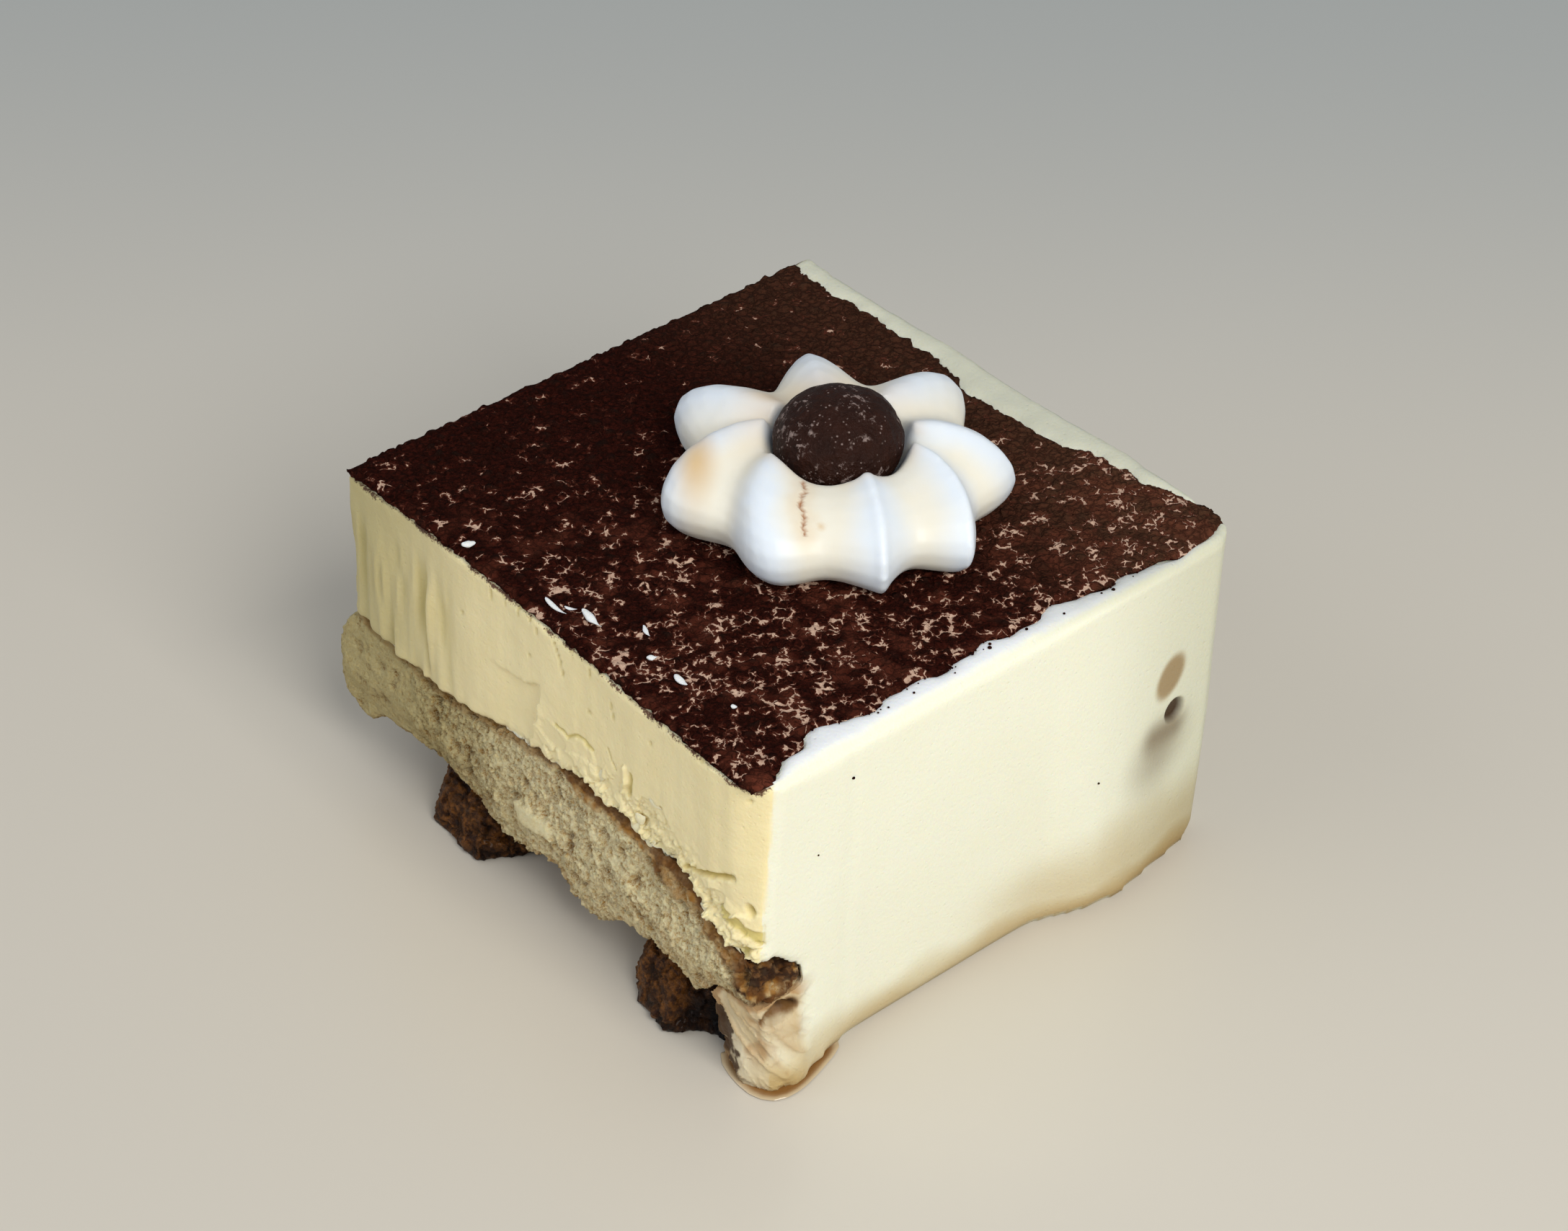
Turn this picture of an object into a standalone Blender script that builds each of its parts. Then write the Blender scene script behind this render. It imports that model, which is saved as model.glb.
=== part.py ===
"""A square slice of tiramisu: ladyfinger sponge in mascarpone cream, a cocoa top,
a piped meringue flower and a chocolate ball.

The slice is a corner piece of a tray bake. Its +X and +Y sides are smooth cream
down to the floor, and its -Y and -X sides are cut faces that show the layers.
Metres, +Z up, origin at the bottom centre of the whole slice.
"""

from math import atan2, cos, degrees, exp, hypot, pi, radians, sin, sqrt

import bmesh
import bpy
from mathutils import Vector

MM = 0.001

# Driving sizes of the block, in millimetres. HALF_X and HALF_Y are the block's own
# half sides; the bulges below reach a little past them.
HALF_X = 40.0
HALF_Y = 37.5
TOP = 47.0
GAP = 0.3
POCKET_GAP = 0.4
COCOA_THICKNESS = 0.7
RIM_DROP = 0.15
WALL = 4.0
BACK_CORNER_RADIUS = 5.0
FRONT_CORNER_RADIUS = 4.6
GRID = 4.0
INNER_X = HALF_X - WALL - GAP
INNER_Y = HALF_Y - WALL - GAP

# The -Y cut runs out of square: how far it stands off the plane y = -HALF_Y, and the
# height over which it draws back to that plane at the floor.
SLANT_START = -20.0
SLANT_LENGTH = 52.0
SLANT_LEAST = 0.2
SLANT_REACH = 2.6
SLANT_FOOT = 16.0

# The pale upper sponge: mean levels of its two faces, how far it bulges at -X, and how
# its top sinks and its underside rises at the broken front corner, where it tapers.
SPONGE_TOP = 24.75
SPONGE_TOP_WAVE = 2.35
SPONGE_CREST = 10.0
SPONGE_BOTTOM = 10.4
SPONGE_BULGE = 4.2
SPONGE_END_DROP = 6.0
CORNER_START = 28.0
CORNER_REACH = 4.6
CORNER_RISE = 4.2
CORNER_TAPER = 3.2

# The coffee-soaked lower sponge: how far it stands back under the cut faces.
SOAKED_FRONT = -24.0
SOAKED_LEFT = -34.0

# The hollow lobes of the sponge's lower edge at the cut: centre, half width, depth.
SPONGE_LOBES = ((-40.0, 6.0, 3.4), (-9.0, 11.5, 4.2), (6.5, 9.0, 5.6), (28.5, 5.5, 1.8))
# Steps of the soaked sponge's front edge, which make two lumps that reach forward to
# the cut: place along x, half length of the step, and how far it goes along -Y.
SOAKED_STEPS = (
    (-29.3, 4.5, 14.3),
    (-11.8, 2.6, -14.3),
    (13.6, 2.2, 16.0),
    (25.8, 1.4, -3.2),
    (30.45, 0.25, -16.3),
)

# The meringue flower and the flattened ball in its middle.
FLOWER_X = 4.75
FLOWER_Y = 2.85
FLOWER_BASE = TOP + GAP
FLOWER_RIM = 58.0
FLOWER_WIDEST = 51.0
FLOWER_TUCK = 3.2
RIM_RADIUS = 9.2
PETAL_STEPS = 10
BALL_RADIUS = 8.0
BALL_HALF_HEIGHT = 6.2
BALL_CENTRE = 56.5
# Petals: angle of the tip in degrees, its radius, crispness of the crest from 0 to 1,
# how far the crest leans round at the rim, radius of the hollow that follows.
PETALS = (
    (3.0, 22.3, 0.6, 32.0, 18.0),
    (48.0, 21.4, 0.3, 12.0, 17.4),
    (100.0, 23.6, 0.1, 2.0, 17.0),
    (148.0, 23.8, 0.3, 2.0, 16.8),
    (192.0, 24.4, 0.1, 2.0, 17.2),
    (246.0, 22.1, 0.0, -31.0, 17.9),
    (295.0, 20.9, 0.0, -30.0, 18.2),
    (333.0, 21.4, 1.0, 6.0, 18.2),
)

# Surface colours as linear RGB, and roughness.
CREAM = ((0.83, 0.78, 0.56), 0.45)
SPONGE = ((0.50, 0.39, 0.22), 0.9)
SOAKED = ((0.075, 0.030, 0.010), 0.5)
COCOA = ((0.040, 0.012, 0.007), 0.95)
MERINGUE = ((0.82, 0.82, 0.78), 0.5)
CHOCOLATE = ((0.028, 0.010, 0.006), 0.25)


# ---------------------------------------------------------------- small helpers

def clamp(value, low=0.0, high=1.0):
    return max(low, min(high, value))


def smooth(low, high, value):
    """0 below low, 1 above high, and an even S between them."""
    t = clamp((value - low) / (high - low))
    return t * t * (3.0 - 2.0 * t)


def bump(value, centre, half_width):
    """A rounded hill of height 1, nothing beyond its half width."""
    t = abs(value - centre) / half_width
    return cos(0.5 * pi * t) ** 2 if t < 1.0 else 0.0


def ripple(a, b, wave, phase):
    """Slow, repeatable unevenness between -1 and 1 over two coordinates."""
    return 0.5 * (sin(2.0 * pi * a / wave + phase) + cos(2.0 * pi * b / (1.3 * wave) + 2.1 * phase))


def spread(low, high, step):
    """Positions from low to high, no further apart than step."""
    count = max(1, round((high - low) / step))
    return [low + (high - low) * i / count for i in range(count + 1)]


def clear_scene():
    for thing in list(bpy.data.objects):
        bpy.data.objects.remove(thing, do_unlink=True)


def collection(name):
    group = bpy.data.collections.new(name)
    bpy.context.scene.collection.children.link(group)
    return group


def material(name, finish):
    colour, roughness = finish
    mat = bpy.data.materials.new(name)
    mat.use_nodes = True
    shader = mat.node_tree.nodes["Principled BSDF"]
    shader.inputs["Base Color"].default_value = (*colour, 1.0)
    shader.inputs["Roughness"].default_value = roughness
    shader.inputs["Metallic"].default_value = 0.0
    return mat


def add_object(name, bm, group, mat=None):
    """Turns a bmesh in millimetres into an object in metres."""
    bmesh.ops.scale(bm, vec=(MM, MM, MM), verts=bm.verts)
    bmesh.ops.recalc_face_normals(bm, faces=bm.faces)
    mesh = bpy.data.meshes.new(name)
    bm.to_mesh(mesh)
    bm.free()
    obj = bpy.data.objects.new(name, mesh)
    group.objects.link(obj)
    if mat is None:
        obj.hide_render = True
        obj.display_type = "WIRE"
    else:
        mesh.materials.append(mat)
        mesh.shade_smooth()
        mesh.set_sharp_from_angle(angle=radians(50.0))
    return obj


def gridded_box(xs, ys, zs):
    """A cube cut by planes at the inner positions, so that its faces form a grid."""
    bm = bmesh.new()
    bmesh.ops.create_cube(bm, size=1.0)
    spans = [(axis[0], axis[-1]) for axis in (xs, ys, zs)]
    bmesh.ops.scale(bm, vec=[high - low for low, high in spans], verts=bm.verts)
    bmesh.ops.translate(bm, vec=[0.5 * (low + high) for low, high in spans], verts=bm.verts)
    for index, axis in enumerate((xs, ys, zs)):
        normal = Vector((0.0, 0.0, 0.0))
        normal[index] = 1.0
        for place in axis[1:-1]:
            everything = bm.verts[:] + bm.edges[:] + bm.faces[:]
            bmesh.ops.bisect_plane(bm, geom=everything, plane_co=normal * place, plane_no=normal)
    return bm


def warp(bm, rule):
    for vert in bm.verts:
        vert.co = rule(vert.co.copy())
    return bm


def cut(obj, cutter):
    mod = obj.modifiers.new(cutter.name, "BOOLEAN")
    mod.operation = "DIFFERENCE"
    mod.solver = "EXACT"
    mod.object = cutter


# ---------------------------------------------------------------- layer levels

def slant(x, z):
    """How far the -Y cut stands off its plane: more towards +X, and nothing at the floor."""
    along = clamp((x - SLANT_START) / SLANT_LENGTH) ** 1.25
    return (SLANT_LEAST + SLANT_REACH * along) * smooth(0.0, SLANT_FOOT, z)


def sponge_top(x, y):
    """Upper face of the pale sponge: a slow wave, then level, then down at the +X end."""
    depth = smooth(-HALF_Y + 4.0, -HALF_Y + 24.0, y)
    wave = SPONGE_TOP_WAVE * cos(2.0 * pi * (min(x, SPONGE_CREST) - SPONGE_CREST) / 66.0)
    drop = 0.9 * smooth(12.0, 30.0, x) + SPONGE_END_DROP * smooth(CORNER_START, INNER_X, x)
    taper = smooth(-HALF_Y, -HALF_Y + 3.5, y) * smooth(INNER_X - 4.0, INNER_X, x)
    level = SPONGE_TOP + wave - drop - CORNER_TAPER * taper
    return level + 0.5 * depth * ripple(x, y, 31.0, 0.7)


def sponge_bottom(x, y):
    """Lower face: hanging lobes at the cut that level out further in."""
    near = 1.0 - smooth(-HALF_Y + 6.0, -HALF_Y + 22.0, y)
    lobes = sum(depth * bump(x, centre, half) for centre, half, depth in SPONGE_LOBES)
    front = 1.0 - smooth(-HALF_Y + 8.0, -HALF_Y + 14.0, y)
    corner = CORNER_RISE * front * smooth(CORNER_START, CORNER_START + 3.0, x)
    return SPONGE_BOTTOM - near * lobes + corner


def corner_reach(x, y):
    """How far the pale sponge is drawn out along +X, into the broken front corner."""
    front = 1.0 - smooth(-HALF_Y + 3.0, -HALF_Y + 8.0, y)
    return CORNER_REACH * front * smooth(CORNER_START + 1.5, INNER_X, x)


def soaked_front(x):
    """The -Y edge of the soaked sponge, with its two lumps."""
    steps = sum(reach * smooth(place - half, place + half, x) for place, half, reach in SOAKED_STEPS)
    return SOAKED_FRONT - steps + 0.5 * sin(x / 2.1)


# ---------------------------------------------------------------- the block of cream

def face_shift(y, z):
    """How far the +X face stands off its plane: a tucked foot, and a swelling near y = 18."""
    foot = clamp(1.0 - z / TOP) ** 1.6
    swell = 1.7 * bump(y, 18.0, 12.0) + 1.2 * bump(y, -HALF_Y, 7.0)
    tuck = 1.9 * smooth(-34.0, -20.0, y) * (1.0 - smooth(4.0, 13.0, y))
    crown = 0.5 * sin(pi * clamp(z / TOP)) * cos(y / 15.0)
    return foot * (swell - tuck) + crown


def corner_foot(x, z):
    """Bulge of the cream lump at the foot of the front corner, along -Y."""
    return 1.3 * smooth(31.0, 35.0, x) * (1.0 - smooth(3.0, 14.0, z))


def corner_bevel(x, z):
    """How far the -Y cut draws back beside the +X face: most at the top, none at the foot."""
    depth = 1.2 * smooth(15.0, 22.0, z) + 1.5 * smooth(24.0, 44.0, z)
    return depth * smooth(HALF_X - 4.0, HALF_X, x)


def round_corner(x, y, side, radius):
    """Rolls the vertical edge between +X and the face at -Y or +Y, as side is -1 or 1."""
    dx = x - (HALF_X - radius)
    dy = side * y - (HALF_Y - radius)
    if dx <= 0.0 or dy <= 0.0:
        return x, y
    shrink = max(dx, dy) / hypot(dx, dy)
    return HALF_X - radius + dx * shrink, side * (HALF_Y - radius + dy * shrink)


def cream_point(p):
    x, y, z = p
    on_right = smooth(HALF_X - 2.0 * WALL, HALF_X, x)
    on_front = 1.0 - smooth(-HALF_Y, -HALF_Y + 6.0, y)
    on_left = 1.0 - smooth(-HALF_X, -HALF_X + 6.0, x)
    x, y = round_corner(x, y, 1.0, BACK_CORNER_RADIUS + 3.0 * clamp(1.0 - z / 22.0))
    x, y = round_corner(x, y, -1.0, FRONT_CORNER_RADIUS * (1.0 - smooth(8.0, 16.0, z)))
    x += on_right * face_shift(y, z)
    x -= on_left * (0.25 * ripple(y, z, 19.0, 0.3) - 0.5 + 0.5 * smooth(20.0, 46.0, z))
    stand = slant(x, z) + corner_foot(x, z) - corner_bevel(x, z)
    y -= on_front * (stand + 0.25 * ripple(x, z, 17.0, 1.9))
    y -= 0.4 * smooth(HALF_Y - 6.0, HALF_Y, p.y) * (1.0 + ripple(x, z, 29.0, 0.9))
    return Vector((x, y, z))


def cocoa_edge_x(y):
    """The ragged +X edge of the cocoa: closer to the face near its two ends."""
    slow = 36.6 + 2.2 * smooth(8.0, 30.0, y) + 2.9 * (1.0 - smooth(-37.0, -32.5, y))
    edge = slow + 0.5 * sin(y / 1.9) + 0.35 * sin(y / 0.83 + 1.0) - 1.0 * bump(y, -27.0, 4.0)
    return min(edge, HALF_X - 3.0 * GAP)


def cocoa_edge_y(x):
    """The ragged +Y edge of the cocoa: it dips in near x = 0."""
    slow = 34.6 - 2.6 * bump(x, 2.0, 20.0) + 2.0 * smooth(18.0, 34.0, x)
    return slow + 0.4 * sin(x / 2.3) + 0.3 * sin(x / 0.9 + 2.0)


def cocoa_outline(grow=0.0, overrun=0.0):
    """Outline of the cocoa, counter-clockwise. grow widens its two ragged edges and
    overrun carries it past the two cut faces."""
    left = -HALF_X - overrun
    step = 1.5
    tip = cocoa_edge_x(-HALF_Y) + grow
    front = [(x, -HALF_Y - overrun - slant(x, TOP)) for x in spread(left, tip, GRID)]
    points = list(front)
    back = cocoa_edge_y(HALF_X) - 1.0
    points += [(cocoa_edge_x(y) + grow, y) for y in spread(-HALF_Y, back, step)[:-1]]
    corner = cocoa_edge_x(back) - 1.5
    points += [(x, cocoa_edge_y(x) + grow) for x in reversed(spread(-HALF_X, corner, step))]
    points.append((left, cocoa_edge_y(-HALF_X) + grow))
    return points


def slab(points, low, high):
    """A flat plate with the given outline."""
    bm = bmesh.new()
    face = bm.faces.new([bm.verts.new((x, y, low)) for x, y in dict.fromkeys(points)])
    risen = bmesh.ops.extrude_face_region(bm, geom=[face])["geom"]
    tops = [item for item in risen if isinstance(item, bmesh.types.BMVert)]
    bmesh.ops.translate(bm, vec=(0.0, 0.0, high - low), verts=tops)
    return bm


def make_cocoa(group):
    bm = slab(cocoa_outline(), TOP - COCOA_THICKNESS, TOP)
    return add_object("cocoa", bm, group, material("cocoa", COCOA))


# ---------------------------------------------------------------- the two sponges

def sponge_grid(open_by):
    """Columns and rows of the sponge. open_by adds an outer one beyond each cut face."""
    beyond_x = [-HALF_X - open_by] if open_by else []
    beyond_y = [-HALF_Y - open_by] if open_by else []
    xs = beyond_x + spread(-HALF_X, 0.0, GRID) + spread(0.0, INNER_X, GRID)[1:]
    ys = beyond_y + spread(-HALF_Y, -20.0, 0.85 * GRID) + spread(-20.0, INNER_Y, 1.6 * GRID)[1:]
    return gridded_box(xs, ys, [0.0, 0.14, 0.38, 0.64, 0.88, 1.0])


def sponge_rule(grow, open_by):
    """Maps the gridded box, whose z runs from 0 to 1, to the sponge. grow thickens it and
    open_by is what the grid was opened by, both for its pocket in the cream."""

    def rule(p):
        x = p.x + corner_reach(p.x, p.y) + grow * smooth(INNER_X - 1.0, INNER_X, p.x)
        y = p.y + grow * smooth(INNER_Y - 1.0, INNER_Y, p.y)
        inside_x = max(p.x, -HALF_X)
        inside_y = max(p.y, -HALF_Y)
        low = sponge_bottom(inside_x, inside_y) - grow
        high = sponge_top(inside_x, inside_y) + grow
        z = low + (high - low) * p.z
        if open_by == 0.0:
            belly = sin(pi * clamp(p.z)) ** 0.7
            near = 1.0 - smooth(-HALF_Y, -HALF_Y + 5.0, y)
            cut_row = 1.0 - smooth(-HALF_Y, -HALF_Y + 3.0, y)
            y += near * belly * (0.6 * ripple(x, z, 9.0, 0.4) - 0.4) - cut_row * slant(x, z)
            x -= SPONGE_BULGE * belly * (1.0 - smooth(-HALF_X, -HALF_X + 10.0, x))
        return Vector((x, y, z))

    return rule


def make_sponge(group):
    bm = warp(sponge_grid(0.0), sponge_rule(0.0, 0.0))
    return add_object("sponge", bm, group, material("sponge", SPONGE))


def soaked_point(p):
    """Maps a gridded box, whose y and z run from 0 to 1, to the soaked sponge."""
    front = soaked_front(p.x)
    y = front + (INNER_Y - front) * p.y
    top = sponge_bottom(min(p.x, CORNER_START), y) - 2.0 * GAP
    foot = 1.0 - p.z
    x = p.x
    near = 1.0 - smooth(0.0, 0.2, p.y)
    top *= 1.0 - 0.4 * (1.0 - smooth(0.0, 0.1, p.y))
    y += near * (1.6 * p.z ** 2 + 0.5 * ripple(p.x, 9.0 * p.z, 7.0, 1.1))
    x += 1.5 * (1.0 - smooth(SOAKED_LEFT, SOAKED_LEFT + 8.0, p.x)) * sin(4.0 * foot + y / 6.0)
    return Vector((x, y, top * p.z))


def make_soaked_sponge(group):
    xs = spread(SOAKED_LEFT, 30.2, 0.75 * GRID) + [30.7] + spread(32.5, INNER_X, GRID)
    ys = [0.0, 0.06, 0.13, 0.22, 0.36, 0.52, 0.68, 0.84, 1.0]
    bm = warp(gridded_box(xs, ys, [0.0, 0.3, 0.6, 0.85, 1.0]), soaked_point)
    return add_object("soaked_sponge", bm, group, material("soaked_sponge", SOAKED))


# ---------------------------------------------------------------- the cream, cut out

def ellipsoid(centre, radii, name, group):
    bm = bmesh.new()
    bmesh.ops.create_icosphere(bm, subdivisions=3, radius=1.0)
    bmesh.ops.scale(bm, vec=radii, verts=bm.verts)
    bmesh.ops.translate(bm, vec=centre, verts=bm.verts)
    return add_object(name, bm, group)


def make_cream(group, cutters):
    zs = spread(0.0, TOP - RIM_DROP, GRID)
    bm = gridded_box(spread(-HALF_X, HALF_X, GRID), spread(-HALF_Y, HALF_Y, GRID), zs)
    cream = add_object("cream", warp(bm, cream_point), group, material("cream", CREAM))

    pocket = warp(sponge_grid(9.0), sponge_rule(POCKET_GAP, 9.0))
    cut(cream, add_object("sponge_pocket", pocket, cutters))

    inner = INNER_X + 2.0 * GAP
    back = INNER_Y + 2.0 * GAP
    undercut = [(-50.0, -50.0), (31.0, -50.0), (31.0, -26.0), (inner, -22.0), (inner, back), (-50.0, back)]
    cut(cream, add_object("undercut", slab(undercut, -5.0, 12.0), cutters))

    recess = slab(cocoa_outline(GAP, 5.0), TOP - COCOA_THICKNESS - GAP, TOP + 5.0)
    cut(cream, add_object("cocoa_recess", recess, cutters))

    cut(cream, ellipsoid((40.4, 25.7, 23.4), (2.8, 2.7, 2.0), "side_hole", cutters))
    cut(cream, ellipsoid((40.4, -36.4, 11.6), (3.4, 2.7, 1.9), "corner_hole", cutters))
    return cream


# ---------------------------------------------------------------- the meringue flower

def flower_section(index):
    """One of the flower's vertical sections, PETAL_STEPS of them from each crest to the
    next: angle of its tip, how far it leans at the rim, outer radius, ridge height 0 to 1."""
    along = (index % PETAL_STEPS) / PETAL_STEPS
    angle, radius, crisp, lean, hollow = PETALS[index // PETAL_STEPS]
    next_angle, next_radius, next_crisp, next_lean, _ = PETALS[(index // PETAL_STEPS + 1) % len(PETALS)]
    sharpness = crisp if along < 0.5 else next_crisp
    ridge = sharpness * (1.0 - sin(pi * along)) + (1.0 - sharpness) * cos(pi * along) ** 2
    crest = radius + (next_radius - radius) * smooth(0.0, 1.0, along)
    turn = radians(angle + along * ((next_angle - angle) % 360.0))
    return turn, radians(lean + (next_lean - lean) * along), hollow + (crest - hollow) * ridge, ridge


def flower_profile(row, rows, outer, ridge):
    """Radius, height and share of the lean of one ring: cup, rim, flank, foot, base."""
    cup, flank, foot = 5, 7, 3
    rim = FLOWER_RIM - 1.7 * (1.0 - ridge)
    if row <= cup:
        reach = BALL_RADIUS + GAP
        radius = 0.95 * reach * sin(0.5 * pi * row / cup)
        depth = (BALL_HALF_HEIGHT + GAP) * sqrt(1.0 - (radius / reach) ** 2)
        return radius, BALL_CENTRE - depth, 1.0
    if row <= cup + flank:
        turn = 0.5 * pi * (row - cup - 1) / (flank - 1)
        radius = RIM_RADIUS + (outer - RIM_RADIUS) * sin(turn)
        return radius, FLOWER_WIDEST + (rim - FLOWER_WIDEST) * cos(turn), 1.0 - sin(turn)
    if row <= cup + flank + foot:
        turn = 0.5 * pi * (row - cup - flank) / foot
        radius = outer - FLOWER_TUCK * (1.0 - cos(turn))
        return radius, FLOWER_WIDEST - (FLOWER_WIDEST - FLOWER_BASE) * sin(turn), 0.0
    return 0.5 * (outer - FLOWER_TUCK) * (rows - row), FLOWER_BASE, 0.0


def make_meringue(group):
    """A UV sphere whose rings and meridians are moved to the flower's sections."""
    sections = PETAL_STEPS * len(PETALS)
    rows = 17
    bm = bmesh.new()
    bmesh.ops.create_uvsphere(bm, u_segments=sections, v_segments=rows, radius=1.0)
    for vert in bm.verts:
        polar = atan2(hypot(vert.co.x, vert.co.y), vert.co.z)
        row = round(rows * polar / pi)
        index = round(sections * atan2(vert.co.y, vert.co.x) / (2.0 * pi)) % sections
        tip, lean, outer, ridge = flower_section(index)
        radius, height, share = flower_profile(row, rows, outer, ridge)
        if row == rows:
            radius = 0.0
        turn = tip + lean * share
        vert.co = (FLOWER_X + radius * cos(turn), FLOWER_Y + radius * sin(turn), height)
    return add_object("meringue", bm, group, material("meringue", MERINGUE))


def make_ball(group):
    """The chocolate ball, a little flattened and very slightly lumpy."""
    bm = bmesh.new()
    bmesh.ops.create_icosphere(bm, subdivisions=4, radius=1.0)
    for vert in bm.verts:
        lump = sin(5.0 * vert.co.x + 1.0) * sin(6.0 * vert.co.y) * sin(5.5 * vert.co.z + 0.4)
        vert.co *= BALL_RADIUS - 0.12 + 0.12 * lump
    bmesh.ops.scale(bm, vec=(1.0, 1.0, BALL_HALF_HEIGHT / BALL_RADIUS), verts=bm.verts)
    bmesh.ops.translate(bm, vec=(FLOWER_X, FLOWER_Y, BALL_CENTRE), verts=bm.verts)
    return add_object("chocolate_ball", bm, group, material("chocolate", CHOCOLATE))


# ---------------------------------------------------------------- assembly

def centre_on_origin(parts, cutters):
    """Moves everything so that the origin is at the bottom centre of the slice."""
    corners = [part.matrix_world @ vert.co for part in parts for vert in part.data.vertices]
    middle = [0.5 * (min(c[i] for c in corners) + max(c[i] for c in corners)) for i in (0, 1)]
    shift = Vector((-middle[0], -middle[1], 0.0))
    for obj in (*parts, *cutters.objects):
        obj.location += shift


def main():
    clear_scene()
    slice_parts = collection("tiramisu_slice")
    cutters = collection("cutters")
    parts = [
        make_cream(slice_parts, cutters),
        make_sponge(slice_parts),
        make_soaked_sponge(slice_parts),
        make_cocoa(slice_parts),
        make_meringue(slice_parts),
        make_ball(slice_parts),
    ]
    centre_on_origin(parts, cutters)


main()
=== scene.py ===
"""Looks of the tiramisu slice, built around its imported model.

Each layer starts from its CAD solid, gets a fine mesh of its own, and is shaped by
repeatable noise: torn cream, open crumb, clumped cocoa, piped meringue.
Lengths are in millimetres in the block's own frame (x and y from the middle of the
cream block, z from the floor) until a mesh is written.
"""

from itertools import product
from math import cos, pi, radians, sin

import bmesh
import bpy
import numpy as np
from mathutils import Matrix, Vector


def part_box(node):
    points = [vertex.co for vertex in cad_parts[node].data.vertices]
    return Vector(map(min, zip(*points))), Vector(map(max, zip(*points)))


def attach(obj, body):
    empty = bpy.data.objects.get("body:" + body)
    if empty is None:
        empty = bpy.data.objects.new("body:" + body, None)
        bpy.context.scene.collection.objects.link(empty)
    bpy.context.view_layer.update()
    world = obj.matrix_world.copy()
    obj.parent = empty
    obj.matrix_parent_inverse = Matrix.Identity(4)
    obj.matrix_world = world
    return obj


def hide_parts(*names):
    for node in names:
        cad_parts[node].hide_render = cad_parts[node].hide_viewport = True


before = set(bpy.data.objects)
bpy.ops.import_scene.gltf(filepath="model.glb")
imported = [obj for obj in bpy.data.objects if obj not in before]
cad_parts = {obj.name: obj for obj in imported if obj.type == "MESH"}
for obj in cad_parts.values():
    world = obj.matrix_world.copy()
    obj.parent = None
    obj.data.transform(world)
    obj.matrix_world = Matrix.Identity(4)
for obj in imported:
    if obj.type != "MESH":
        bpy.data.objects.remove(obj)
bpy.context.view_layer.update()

MM = 0.001
HALF_X = 40.0
HALF_Y = 37.5

FLOWER_X, FLOWER_Y = 4.75, 2.85     # middle of the meringue flower

COCOA_LOW, COCOA_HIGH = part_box("cocoa")
TOP = COCOA_HIGH.z / MM
BALL_LOW, BALL_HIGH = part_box("chocolate_ball")
BALL_IN_FRAME = np.array(0.5 * (BALL_LOW + BALL_HIGH)) / MM
ORIGIN = BALL_IN_FRAME - (FLOWER_X, FLOWER_Y, BALL_IN_FRAME[2])
BALL = BALL_IN_FRAME - ORIGIN


# ---- repeatable noise

def lattice(cell, seed):
    """A number from 0 to 1 for each whole-number cell."""
    whole = cell.astype(np.int64).astype(np.uint32)
    mixed = whole[:, 0] * np.uint32(374761393) + whole[:, 1] * np.uint32(668265263)
    mixed += whole[:, 2] * np.uint32(2147483629) + np.uint32(seed * 1274126177 % 2**32)
    for shift, factor in ((13, 1274126177), (15, 2246822519), (16, 3266489917)):
        mixed = (mixed ^ (mixed >> np.uint32(shift))) * np.uint32(factor)
    return (mixed >> np.uint32(8)) / float(1 << 24)


def noise(points, size, seed=0):
    """Smooth noise between -1 and 1 whose features are about size across."""
    scaled = points / size
    cell = np.floor(scaled)
    part = scaled - cell
    part = part ** 3 * (part * (part * 6 - 15) + 10)
    total = np.zeros(len(points))
    for corner in product((0, 1), repeat=3):
        weight = np.prod(np.where(np.array(corner) == 1, part, 1 - part), axis=1)
        total += weight * lattice(cell + corner, seed)
    return 2 * total - 1


def rough(points, size, octaves, seed=0, fade=0.5):
    """Noise with finer and weaker copies of itself added."""
    total = np.zeros(len(points))
    reach = 0
    for octave in range(octaves):
        total += fade ** octave * noise(points, size / 2 ** octave, seed + octave)
        reach += fade ** octave
    return total / reach


def push(points, size, seed, octaves=1, step=1):
    """A noise of its own for each axis, to push points about."""
    return np.stack([rough(points, size, octaves, seed + step * axis) for axis in range(3)], axis=1)


def cells(points, size, seed=0):
    """Cellular noise: distance to the nearest seed point and to the second nearest, both
    in cell sizes, and a number from 0 to 1 for the nearest one."""
    scaled = points / size
    base = np.floor(scaled)
    first = np.full(len(points), 9.0)
    second = np.full(len(points), 9.0)
    tag = np.zeros(len(points))
    for step in product((-1, 0, 1), repeat=3):
        cell = base + step
        spot = columns(*[lattice(cell, seed + axis) for axis in range(3)])
        away = np.linalg.norm(cell + spot - scaled, axis=1)
        closer = away < first
        second = np.where(closer, first, np.minimum(second, away))
        tag = np.where(closer, spot[:, 0], tag)
        first = np.minimum(first, away)
    return first, second, tag


def columns(*parts):
    """Numbers or arrays side by side, as the coordinates of points."""
    return np.stack(np.broadcast_arrays(*parts), axis=1)


def most(*values):
    """The largest of several arrays, point by point."""
    return np.maximum.reduce(values)


def smooth(low, high, value):
    """0 at low and 1 at high, which may be the smaller, with an even rise between."""
    t = np.clip((value - low) / (high - low), 0, 1)
    return t * t * (3 - 2 * t)


def hill(value, centre, half_width):
    """1 at the centre and 0 from half_width away."""
    t = np.clip(np.abs(value - centre) / half_width, 0, 1)
    return np.cos(0.5 * pi * t) ** 2


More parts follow.
